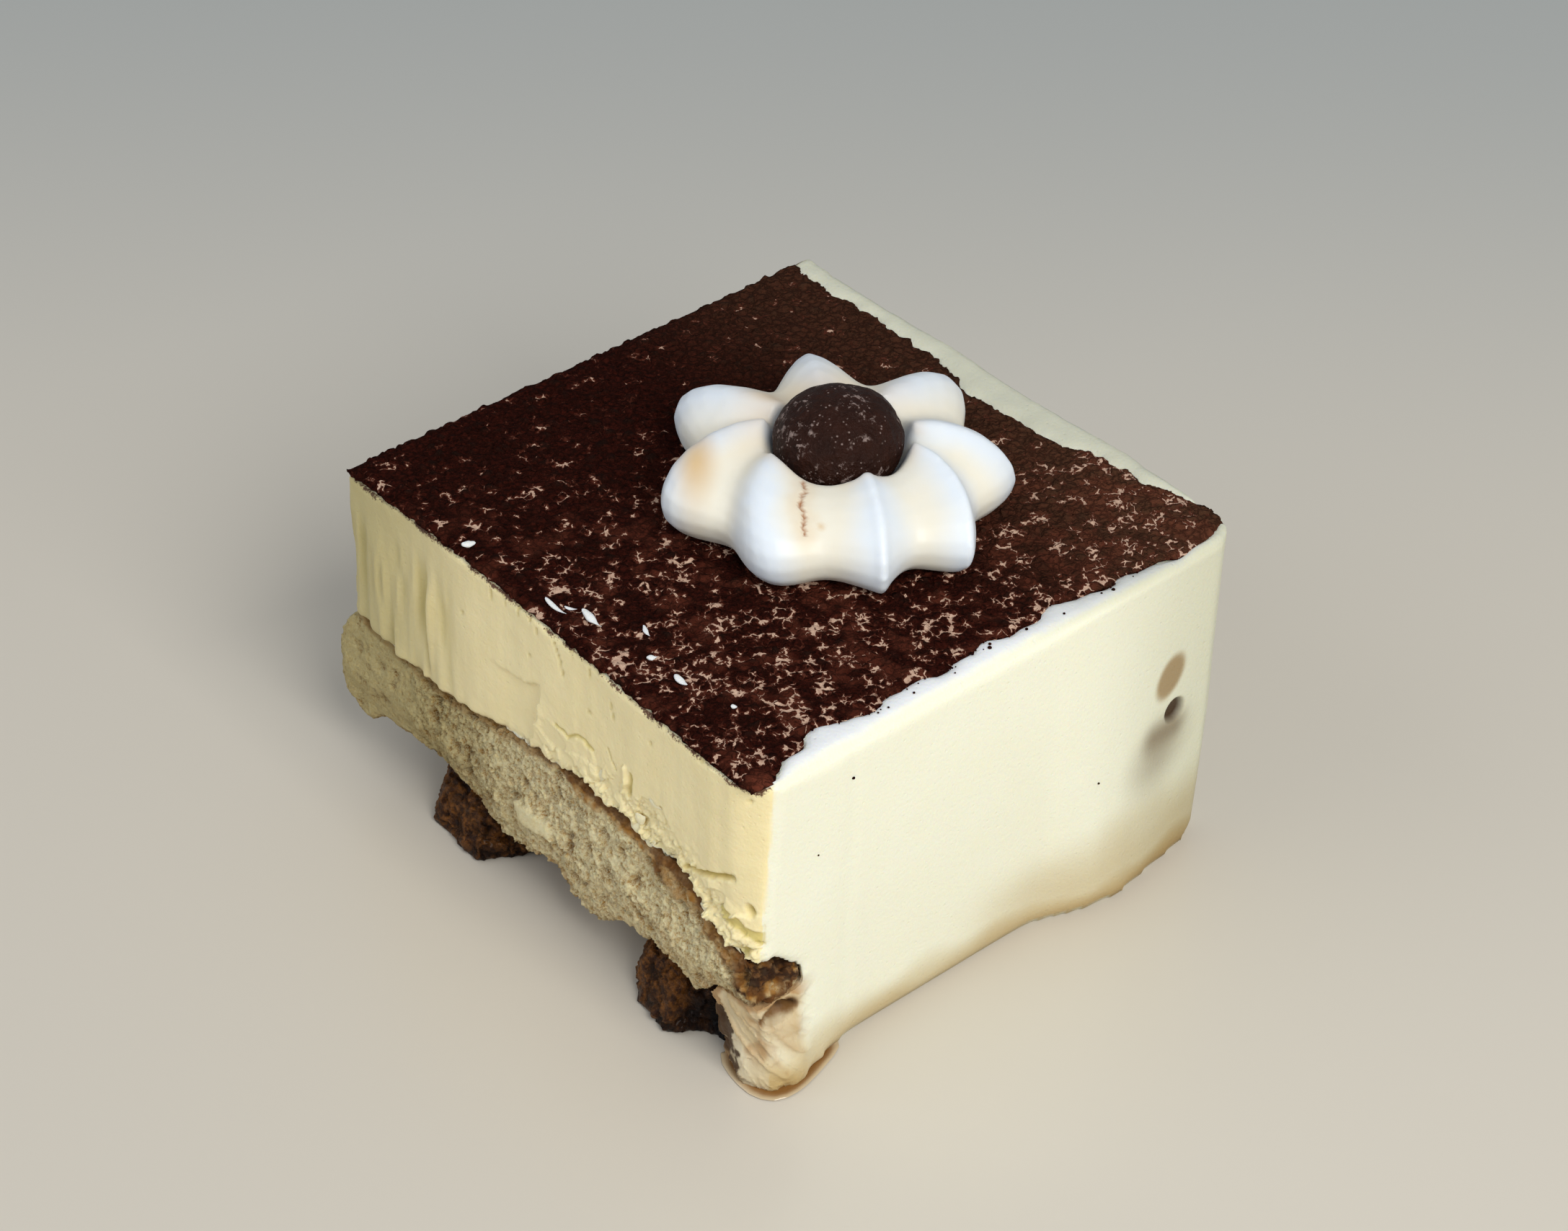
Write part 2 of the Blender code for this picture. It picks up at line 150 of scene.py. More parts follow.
def blob(a, b, centre, radii, turn=0):
    """1 at the centre of a turned ellipse and 0 at its edge, over two coordinates."""
    da, db = a - centre[0], b - centre[1]
    along = (da * cos(turn) + db * sin(turn)) / radii[0]
    across = (db * cos(turn) - da * sin(turn)) / radii[1]
    return 1 - smooth(0, 1, np.hypot(along, across))


def off_line(a, b, line):
    """Distance over two coordinates to a broken line."""
    near = np.full(len(a), 1e9)
    for (a0, b0), (a1, b1) in zip(line[:-1], line[1:]):
        da, db = a1 - a0, b1 - b0
        t = np.clip(((a - a0) * da + (b - b0) * db) / (da * da + db * db), 0, 1)
        near = np.minimum(near, np.hypot(a - a0 - t * da, b - b0 - t * db))
    return near


def groove(a, b, line, width):
    """1 on a broken line over two coordinates, and 0 from width away."""
    return 1 - smooth(0, width, off_line(a, b, line))


def rounding(a, b, radius):
    """Shifts that draw the square corner a = b = 0, both growing outwards, in to an arc."""
    da, db = a + radius, b + radius
    shrink = np.maximum(da, db) / np.maximum(np.hypot(da, db), 1e-9)
    shrink = np.where((da > 0) & (db > 0), shrink, 1)
    return np.stack([da * shrink - radius - a, db * shrink - radius - b])


def strands(points, size, seed):
    """Curling threads, 1 along the middle of a thread and 0 between them."""
    bent = points + 0.5 * size * push(points, 0.9 * size, seed)
    return (1 - np.abs(noise(bent, size, seed + 5))) ** 4


def front_reach(x, z):
    """How far the -Y cut, out of square and bevelled at +X, stands off y = -HALF_Y."""
    lean = np.clip((x + 20) / 52, 0, 1) ** 1.25
    bevel = 1.2 * smooth(15, 22, z) + 1.5 * smooth(24, 44, z)
    bevel *= np.clip(1 - (HALF_X - x) / 5, 0, 1) ** 1.6
    return (0.2 + 2.6 * lean) * smooth(0, 16, z) - bevel


def turn_from(angle, reference):
    """Signed angle from a reference, between -pi and pi."""
    return (angle - reference + pi) % (2 * pi) - pi


def inside(points, centre, radii):
    """Distance from the middle of an ellipsoid, 1 on its surface."""
    return np.linalg.norm((points - centre) / radii, axis=1)


# ---- meshes

def triples(rows, key):
    """Three numbers from each row of a mesh's data."""
    flat = np.empty(len(rows) * 3)
    rows.foreach_get(key, flat)
    return flat.reshape(-1, 3)


def read_points(mesh):
    return triples(mesh.vertices, "co") / MM - ORIGIN


def write_points(mesh, points):
    mesh.vertices.foreach_set("co", ((points + ORIGIN) * MM).ravel())
    mesh.update()


def opened(mesh):
    """The points and normals of a mesh, and then the x, y and z of both."""
    points, normals = read_points(mesh), triples(mesh.vertex_normals, "vector")
    return points, normals, *points.copy().T, *normals.T


def paint(mesh, name, values):
    """Keeps one number from 0 to 1 for each vertex, for the material to read."""
    layer = mesh.attributes.new(name, "FLOAT", "POINT")
    layer.data.foreach_set("value", np.clip(values, 0, 1).astype(np.float32))


def paint_evenly(mesh, names, **values):
    """Paints every name in one number each, 0 unless it is given."""
    for name in names:
        paint(mesh, name, np.full(len(mesh.vertices), values.get(name, 0.0)))


def show(name, mesh, mat, replaces):
    """Puts a finished mesh in the scene as a piece that rides with the slice."""
    mesh.materials.clear()
    mesh.materials.append(mat)
    mesh.shade_smooth()
    piece = bpy.data.objects.new(name, mesh)
    bpy.context.scene.collection.objects.link(piece)
    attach(piece, "root")
    if replaces:
        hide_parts(replaces)
    return piece


def with_modifiers(mesh, *settings):
    """A new mesh: the given one after these modifiers, each a type and its values."""
    holder = bpy.data.objects.new("holder", mesh)
    bpy.context.scene.collection.objects.link(holder)
    for kind, values in settings:
        mod = holder.modifiers.new(kind, kind)
        for key, value in values.items():
            setattr(mod, key, value)
    bpy.context.view_layer.update()
    evaluated = holder.evaluated_get(bpy.context.evaluated_depsgraph_get())
    result = bpy.data.meshes.new_from_object(evaluated)
    bpy.data.objects.remove(holder)
    return result


def remeshed(node, voxel, smoothing=0):
    """The node's solid as an even mesh of small quads, evened out over some passes."""
    steps = [("REMESH", {"mode": "VOXEL", "voxel_size": voxel * MM})]
    if smoothing:
        steps.append(("SMOOTH", {"factor": 0.5, "iterations": smoothing}))
    return with_modifiers(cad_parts[node].data.copy(), *steps)


def refine(mesh, chooser):
    """Splits each chosen face in four. chooser gets x, y, z of the faces' centres and
    then of their normals."""
    centres = triples(mesh.polygons, "center") / MM - ORIGIN
    chosen = chooser(*centres.T, *triples(mesh.polygons, "normal").T)
    bm = bmesh.new()
    bm.from_mesh(mesh)
    bm.faces.ensure_lookup_table()
    edges = {edge for index in np.flatnonzero(chosen) for edge in bm.faces[index].edges}
    bmesh.ops.subdivide_edges(bm, edges=list(edges), cuts=1, use_grid_fill=True)
    bm.to_mesh(mesh)
    bm.free()


def relax(mesh, points, share, passes):
    """Evens out the spacing of the points, as far as share says."""
    ends = np.empty(2 * len(mesh.edges), dtype=np.int32)
    mesh.edges.foreach_get("vertices", ends)
    ends = ends.reshape(-1, 2)
    ends = ends[(share[ends] > 0).any(axis=1)]
    one, other = np.concatenate([ends, ends[:, ::-1]]).T
    count = np.maximum(np.bincount(one, minlength=len(points)), 1)
    for _ in range(passes):
        mean = [np.bincount(one, points[other, axis], len(points)) / count for axis in range(3)]
        points += share[:, None] * (columns(*mean) - points)


def from_faces(name, points, faces):
    mesh = bpy.data.meshes.new(name)
    mesh.from_pydata(((points + ORIGIN) * MM).tolist(), [], faces)
    mesh.update()
    return mesh


def ball_mesh(subdivisions):
    """Points and faces of a unit ball."""
    bm = bmesh.new()
    bmesh.ops.create_icosphere(bm, subdivisions=subdivisions, radius=1)
    points = np.array([vert.co[:] for vert in bm.verts])
    faces = [[vert.index for vert in face.verts] for face in bm.faces]
    bm.free()
    return points, faces


def joined(name, parts):
    """One mesh from several pairs of points and faces."""
    points, faces, start = [], [], 0
    for part_points, part_faces in parts:
        points.append(part_points)
        faces += [[index + start for index in face] for face in part_faces]
        start += len(part_points)
    return from_faces(name, np.concatenate(points), faces)


def turned(points, degrees):
    """Points turned about z."""
    return points @ np.array(Matrix.Rotation(radians(degrees), 3, "Z")).T


def close_below(faces, ring, start):
    """Adds walls from a ring of points to its copy from start on, and the copy's own face."""
    count = len(ring)
    for i in range(count):
        j = (i + 1) % count
        faces.append([ring[j], ring[i], start + i, start + j])
    faces.append([start + i for i in reversed(range(count))])


def edge_profile(node, top):
    """Height of a node's upper or lower edge along the -Y cut face, as a function of x."""
    points = read_points(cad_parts[node].data)
    reach = -HALF_Y - front_reach(points[:, 0], points[:, 2])
    face = points[points[:, 1] < reach + 1.2]
    stations = np.unique(np.round(face[:, 0]))
    pick = np.max if top else np.min
    heights = [pick(face[np.abs(face[:, 0] - station) < 2.2, 2]) for station in stations]
    return lambda x: np.interp(x, stations, heights)


# ---- material nodes

class Shader:
    """A Principled material, with short calls for the nodes that feed it."""

    def __init__(self, name, **values):
        self.material = bpy.data.materials.new(name)
        self.material.use_nodes = True
        self.tree = self.material.node_tree
        self.place = self.node("TexCoord").outputs["Object"]
        self.set(**values)

    def feed(self, node, inputs):
        """Gives each input of a node a value or a socket, or, for None, nothing."""
        for key, value in inputs.items():
            socket = node.inputs[key.replace("_", " ") if isinstance(key, str) else key]
            if isinstance(value, bpy.types.NodeSocket):
                self.tree.links.new(value, socket)
            elif value is not None:
                socket.default_value = value

    def set(self, **inputs):
        self.feed(self.tree.nodes["Principled BSDF"], inputs)
        return self.material

    def node(self, kind, settings=(), **inputs):
        node = self.tree.nodes.new("ShaderNode" + kind)
        for key, value in settings:
            setattr(node, key, value)
        self.feed(node, inputs)
        return node

    def attribute(self, name):
        return self.node("Attribute", [("attribute_name", name)]).outputs["Fac"]

    def math(self, kind, a, b=0):
        node = self.node("Math", [("operation", kind)])
        self.feed(node, {0: a, 1: b})
        return node.outputs[0]

    def noise(self, size, detail=3, roughness=0.55, distortion=0):
        """Noise from 0 to 1 whose features are about size mm across."""
        return self.node("TexNoise", Scale=1 / (size * MM), Detail=detail, Roughness=roughness,
                         Distortion=distortion, Vector=self.place).outputs["Fac"]

    def cells(self, size, feature="F1", place=None):
        """Distance in cells about size mm across, to their middles or their edges."""
        return self.node("TexVoronoi", [("feature", feature)], Scale=1 / (size * MM),
                         Vector=place or self.place).outputs["Distance"]

    def warped(self, size, reach):
        """Places pushed about by noise, up to about reach mm."""
        push = self.node("TexNoise", Scale=1 / (size * MM), Vector=self.place)
        node = self.node("VectorMath", [("operation", "MULTIPLY_ADD")])
        self.feed(node, {0: push.outputs["Color"], 1: (4 * reach * MM,) * 3, 2: self.place})
        return node.outputs["Vector"]

    def lines(self, size, width):
        """Thin, curling lines, 1 along their middle."""
        off = self.math("ABSOLUTE", self.math("SUBTRACT", self.noise(size, 3, 0.6, 1.2), 0.5))
        return self.range(off, 0, width, 1, 0)

    def range(self, value, low, high, out_low=0, out_high=1):
        """A soft step from out_low to out_high, as the value goes from low to high."""
        return self.node("MapRange", [("interpolation_type", "SMOOTHSTEP")], Value=value, From_Min=low,
                         From_Max=high, To_Min=out_low, To_Max=out_high).outputs["Result"]

    def mix(self, share, a, b, blend="MIX"):
        """Colour a where share is 0, and b, or a blended with b, where it is 1."""
        node = self.node("Mix", [("data_type", "RGBA"), ("blend_type", blend)])
        first, second = [srgb(*c) if isinstance(c, tuple) else c for c in (a, b)]
        self.feed(node, {0: share, 6: first, 7: second})
        return node.outputs[2]

    def painted(self, colour, **layers):
        """The colour, with another laid on wherever the piece is painted with its name."""
        for name, layer in layers.items():
            colour = self.mix(self.attribute(name), colour, layer)
        return colour

    def far(self, colour, shade):
        """The colour, darkened by painted shade where light falls off, wherever the piece is painted far."""
        return self.mix(self.attribute("far"), colour, shade, "MULTIPLY")

    def ragged(self, name, size, spread, sharpness):
        """A painted share turned into patches with a crisp, ragged edge."""
        fray = self.range(self.noise(size, 4, 0.7), 0.25, 0.75, -spread, spread)
        edge = self.math("ADD", self.attribute(name), fray)
        return self.range(edge, 0.5 - sharpness, 0.5 + sharpness)

    def bump(self, height, depth, under=None):
        """Fine relief, depth mm from 0 to 1 of height, over any relief given."""
        return self.node("Bump", Distance=depth * MM, Height=height, Normal=under).outputs["Normal"]


def srgb(*channels):
    """A screen colour, 0 to 255, as the linear colour that shaders take."""
    parts = [channel / 255 for channel in channels]
    return (*[c / 12.92 if c <= 0.04045 else ((c + 0.055) / 1.055) ** 2.4 for c in parts], 1)


CREAM_PAINTS = ("cut", "rim", "hollow", "stain", "beige", "grey", "dust", "dark", "far")
COCOA_PAINTS = ("bare", "clump", "dusty", "red")


def cream_material():
    mat = Shader("cream", Subsurface_Weight=0.25, Subsurface_Scale=1.2 * MM, Roughness=0.55,
                 Subsurface_Radius=(1, 0.75, 0.4), Specular_IOR_Level=0.25)
    body = mat.mix(mat.noise(9, 4), (243, 243, 224), (240, 238, 214))
    cut = mat.mix(mat.noise(5, 5), (250, 235, 188), (240, 223, 170))
    # The olive hollow colour and the grey are painted shade; the bluish-white rim colour is painted sky
    # light on bare cream.
    body = mat.painted(body, cut=cut, beige=(206, 183, 140), rim=(228, 230, 232),
                       hollow=(206, 188, 108), stain=(166, 122, 70), grey=(146, 130, 106))
    body = mat.mix(mat.ragged("dust", 0.3, 0.3, 0.18), body, (98, 66, 48))
    body = mat.far(mat.painted(body, dark=(66, 40, 14)), (198, 198, 186))
    pores = mat.range(mat.cells(1.1), 0, 0.22)
    fine = mat.bump(mat.noise(0.5, 4), 0.08)
    return mat.set(Base_Color=body, Normal=mat.bump(pores, 0.04, fine))


def sponge_material():
    mat = Shader("sponge", Roughness=0.8, Subsurface_Weight=0.1, Subsurface_Scale=0.6 * MM,
                 Subsurface_Radius=(1, 0.7, 0.4), Specular_IOR_Level=0.25)
    fibres = mat.noise(0.5, 6, 0.75, 1.2)
    lines = mat.math("MAXIMUM", mat.lines(1, 0.06), mat.lines(0.6, 0.06))
    # Threads lighter and pores darker, as painted light and shade, over the crumb's own varied tone.
    bright = mat.math("ADD", mat.attribute("fibre"), mat.range(fibres, 0.25, 0.75, -0.4, 0.4))
    crumb = mat.mix(mat.range(bright, 0.05, 0.95), (188, 144, 72), (250, 232, 178))
    # deep: painted shade in the crumb's hollows.
    crumb = mat.painted(crumb, deep=(140, 94, 36))
    crumb = mat.mix(mat.math("MULTIPLY", lines, 0.55), crumb, (255, 250, 214))
    crumb = mat.painted(crumb, stain=(176, 122, 50), crust=(98, 54, 18), black=(30, 12, 8))
    crumb = mat.far(crumb, (190, 184, 164))
    return mat.set(Base_Color=crumb, Normal=mat.bump(fibres, 0.35))


def soaked_material():
    mat = Shader("soaked_sponge", Roughness=0.4, Coat_Weight=0.08, Coat_Roughness=0.15,
                 Specular_IOR_Level=0.15)
    amber = mat.range(mat.noise(0.9, 5, 0.7), 0.38, 0.66)
    crumb = mat.mix(amber, (60, 30, 8), (138, 86, 34))
    # deep: painted shade between the lumps and near the floor.
    crumb = mat.painted(crumb, deep=(28, 12, 4), black=(14, 8, 10))
    grain = mat.bump(mat.noise(0.4, 5, 0.7, 0.8), 0.5)
    gloss = mat.range(mat.noise(0.8), 0.35, 0.65, 0.2, 0.6)
    return mat.set(Base_Color=crumb, Normal=grain, Roughness=gloss)


def cocoa_material():
    mat = Shader("cocoa", Roughness=1, Specular_IOR_Level=0.03)
    gap = mat.cells(1.4, "DISTANCE_TO_EDGE", mat.warped(0.9, 0.32))
    grains = mat.range(mat.noise(0.5, 4, 0.7), 0.3, 0.7)
    powder = mat.mix(grains, (26, 8, 5), (56, 20, 13))
    powder = mat.painted(powder, clump=(34, 18, 13), dusty=(96, 66, 48), red=(112, 58, 42))
    # Darker along the gaps between clumps: painted shade.
    powder = mat.mix(mat.range(gap, 0, 0.14, 0.6, 0), powder, (16, 6, 4))
    share = mat.math("ADD", mat.noise(1.9, 3), mat.attribute("bare"))
    warmth = mat.math("SUBTRACT", mat.range(share, 0.5, 0.78, 0, 0.3), gap)
    powder = mat.mix(mat.range(warmth, 0, 0.16, 0, 0.75), powder, (88, 44, 32))
    width = mat.math("SUBTRACT", mat.range(share, 0.6, 0.84, 0, 0.16), gap)
    tan = mat.mix(mat.noise(0.7, 4), (130, 88, 70), (232, 202, 178))
    powder = mat.mix(mat.range(width, 0, 0.035), powder, tan)
    clumps = mat.bump(mat.range(gap, 0, 0.4), 0.35)
    return mat.set(Base_Color=powder, Normal=mat.bump(mat.noise(0.28, 3, 0.7), 0.14, clumps))


def meringue_material():
    mat = Shader("meringue", Roughness=0.4, Subsurface_Weight=0.3, Subsurface_Scale=1.2 * MM,
                 Subsurface_Radius=(1, 0.9, 0.75), Specular_IOR_Level=0.35)
    # Painted light: bluish sky light on the crests, warmer shade in the valleys.
    body = mat.mix(mat.attribute("valley"), (226, 233, 241), (234, 229, 214))
    body = mat.painted(body, toast=(216, 188, 146), crack=(170, 116, 76))
    return mat.set(Base_Color=body, Normal=mat.bump(mat.noise(1.8, 3, 0.5), 0.04))


def chocolate_material():
    mat = Shader("chocolate", Roughness=0.6, Coat_Weight=0.1, Coat_Roughness=0.08,
                 Specular_IOR_Level=0.08)
    body = mat.mix(mat.noise(2.2, 4, 0.6), (22, 8, 4), (54, 25, 14))
    # Pale specks and patches on the dark body are painted glints, standing in for reflections on the lumpy
    # gloss.
    grains = mat.math("MULTIPLY", mat.range(mat.cells(0.62), 0.12, 0.26, 1, 0),
                      mat.range(mat.noise(2.4), 0.52, 0.62))
    glint_patches = mat.math("MULTIPLY", mat.range(mat.noise(1.1, 4, 0.7), 0.53, 0.62),
                      mat.range(mat.noise(3.6), 0.5, 0.58))
    body = mat.mix(mat.math("MAXIMUM", grains, glint_patches), body, (138, 120, 114))
    lumpy = mat.bump(mat.noise(1.1, 4, 0.65), 0.9)
    return mat.set(Base_Color=body, Normal=lumpy, Coat_Normal=lumpy)


def syrup_material():
    mat = Shader("coffee_syrup", Roughness=0.14)
    body = mat.mix(mat.noise(4), (112, 74, 34), (146, 104, 56))
    body = mat.painted(body, thin=(196, 176, 142))
    return mat.set(Base_Color=body, Normal=mat.bump(mat.noise(3), 0.1))


# ---- the cream

def plates(flat, size, seed):
    """Broken plates, each at a height of its own from -1 to 1, with crisp edges."""
    bent = flat + 0.25 * size * push(flat, 0.7 * size, seed, 2)
    _, _, tag = cells(bent * (0.85, 1, 1.2), size, seed + 7)
    return 2 * tag - 1


def front_relief(x, z, above):
    """Relief of the -Y cut, outwards in mm, and how much painted yellow-olive shade lies in its recesses."""
    flat = columns(x, 0, z)
    wander = 0.35 * noise(flat, 0.9, 61)
    relief = 0.2 * rough(flat, 13, 2, 5) + 0.05 * rough(flat, 1.8, 3, 9)

    # Upright flutes left by the knife at the -X end, with painted shade in their valleys.
    flutes = noise(flat * (1, 1, 0.09), 1.7, 11) + 0.4 * noise(flat * (1, 1, 0.12), 0.8, 12)
    fluted = smooth(-15, -27, x) * smooth(43, 35, z)
    relief += (0.75 * fluted + 0.05) * flutes
    hollow = 0.5 * fluted * smooth(0, -0.7, flutes)

    # A plate broken out to the left of a ledge.
    ledge = x - np.interp(z, (26, 32.6, 36.8), (-3.8, -1.6, -1.4)) + wander
    roof = z - np.interp(x, (-6, -1.4), (34.3, 36.8)) + wander
    broken = smooth(0.12, -0.12, ledge) * smooth(0.2, -0.5, roof) * smooth(-14, -3, x)
    relief -= 0.9 * broken
    relief += 0.3 * hill(ledge, 0.3, 1.6) * hill(z, 30.5, 6)

    # A plate that hangs under a long crack, and painted shade inside the crack.
    crack = ((1.9, 32.7), (3.1, 32.7), (4.4, 32.4), (5.8, 33.6), (7.8, 33.9), (9.2, 33.5),
             (9.9, 31.9), (10.5, 29.6))
    crack_x, crack_z = np.array(crack).T
    roof = z + 0.5 * wander - np.interp(x, crack_x, crack_z)
    hanging = smooth(0.1, -0.3, roof) * smooth(-1, 4, x) * smooth(10.75, 10.5, x + 0.5 * wander)
    relief += 0.2 * hanging * smooth(25, 31, z)
    slit = groove(x + 0.6 * wander, z + 0.6 * wander, crack[:-2], 0.34)
    relief -= 0.25 * slit

    # A flake with a groove behind it that takes painted olive shade, and a rough, flaky patch with a crisp
    # roof.
    flake = groove(x + 0.5 * wander, z, ((15.7, 35.2), (15.9, 33.1), (15.3, 31.4)), 0.38)
    gutter = groove(x + 0.5 * wander, z, ((16.8, 34.7), (16.6, 32.5), (16.3, 31.6)), 0.55)
    relief += 0.5 * flake - 0.5 * gutter
    patch_roof = z + wander - np.interp(x, (17, 19, 22.8, 24, 26), (29, 33.2, 33.6, 32.4, 29))
    patch = smooth(0.15, -0.15, patch_roof) * smooth(16.8, 18, x) * smooth(27, 24, x)
    relief += patch * (0.25 * plates(flat, 1.5, 301) - 0.35)

    # Torn plates towards the lower edge, finer ones right at it.
    torn = smooth(8, 1, above) * smooth(-7, 4, x) * smooth(40, 36, x)
    relief += 0.4 * torn * plates(flat, 3.4, 321)
    relief += 0.45 * smooth(5, 0.5, above) * smooth(0, 9, x) * plates(flat, 1.4, 341)
    relief += 0.25 * smooth(7, 2, above) * smooth(5, 12, x) * plates(flat, 0.9, 361)

    # The slot at the +X end, a curled flake below it, and pits by the corner; the slot, a smear and the pits
    # take painted shade.
    slot = groove(x, z + 0.4 * wander, ((27.4, 28.1), (29.6, 28.9), (33, 30.6), (35.8, 32.1)), 0.55)
    relief -= 1.1 * slot
    curl_top = np.interp(x, (30.5, 32.6, 34.5, 36, 40), (24.2, 25.2, 25.6, 27, 28.4))
    curl = smooth(0.15, -0.1, z + 0.6 * wander - curl_top) * smooth(29.8, 30.6, x) * smooth(41, 36, x)
    relief += 0.6 * curl
    smear = smooth(0.4, 0, off_line(x, z + wander, ((34.6, 26.6), (37.2, 25.8), (39.6, 24.8))) - 0.55)
    pits = most(blob(x, z, (38.2, 28.4), (0.9, 1.3), 0.4), blob(x, z, (40.2, 26.4), (0.8, 1)),
                blob(x, z, (37.8, 22.6), (1.4, 1.1), 0.5))
    relief -= 0.9 * pits + 0.25 * smear

    # Fine upright slits near the cocoa, and pinholes, both darkened with painted shade.
    slits = groove(x + 0.3 * wander, z, ((1.9, 45), (3.1, 42.6), (3.3, 40.9)), 0.28)
    for top_x, top_z, foot_x, foot_z in (
        (-3.1, 45.9, -2.9, 45.1), (-1.5, 44.9, -1.4, 44.1), (0.1, 46.3, 0.2, 45.6), (12.7, 42.8, 13.3, 40.6),
        (-5.4, 45.7, -5.2, 44.3), (5.2, 45.6, 5.4, 44.6), (8.6, 45, 8.7, 43.9), (-8.4, 45.4, -8.2, 44.2),
        (12.2, 35.6, 12.9, 34.4), (13.2, 34.2, 13.9, 33.6), (-11, 44.8, -10.8, 43.2),
    ):
        slits = most(slits, groove(x, z, ((top_x, top_z), (foot_x, foot_z)), 0.24))
    pinholes = ((-3.2, 39.8), (37.6, 44), (26.3, 30.1), (29.5, 28.8), (30.2, 45.5), (8.4, 38.6),
                (20.6, 41.8), (-17, 38))
    holes = most(*[blob(x, z, place, (0.45, 0.45)) for place in pinholes])
    relief -= 0.3 * slits + 0.4 * holes
    marks = 0.6 * slits + 0.6 * holes
    return relief, most(hollow, 0.8 * slit, 0.8 * gutter, 0.95 * slot, 0.85 * smear, 0.9 * pits, marks)


# Centre and radii of the cavity in the front corner's foot, and of the hole in the side.
CAVITY = ((40.4, -36.4, 11.6), (3.4, 2.7, 1.9))
SIDE_HOLE = ((40.4, 25.7, 23.4), (2.8, 2.7, 2))


def side_paints(y, z):
    """Shares of the brown patch, the painted shade over and below it, and the dark pit of the mark in the +X
    side.
    """
    patch = smooth(0.05, 0.5, blob(y, z, (26, 29.8), (4.7, 3.2), 1.04))
    shadow = smooth(3.6, 0, off_line(y, z, ((23.6, 21.6), (27.2, 21.6))))
    halo = blob(y, z, (24.6, 19), (9, 7.5), 0.7)
    pit = smooth(0.1, 0.6, blob(y, z, (27.3, 23.9), (2.7, 2.6), -0.3))
    return patch, 1 - (1 - 0.4 * patch) * (1 - 0.8 * shadow) * (1 - 0.62 * halo), pit


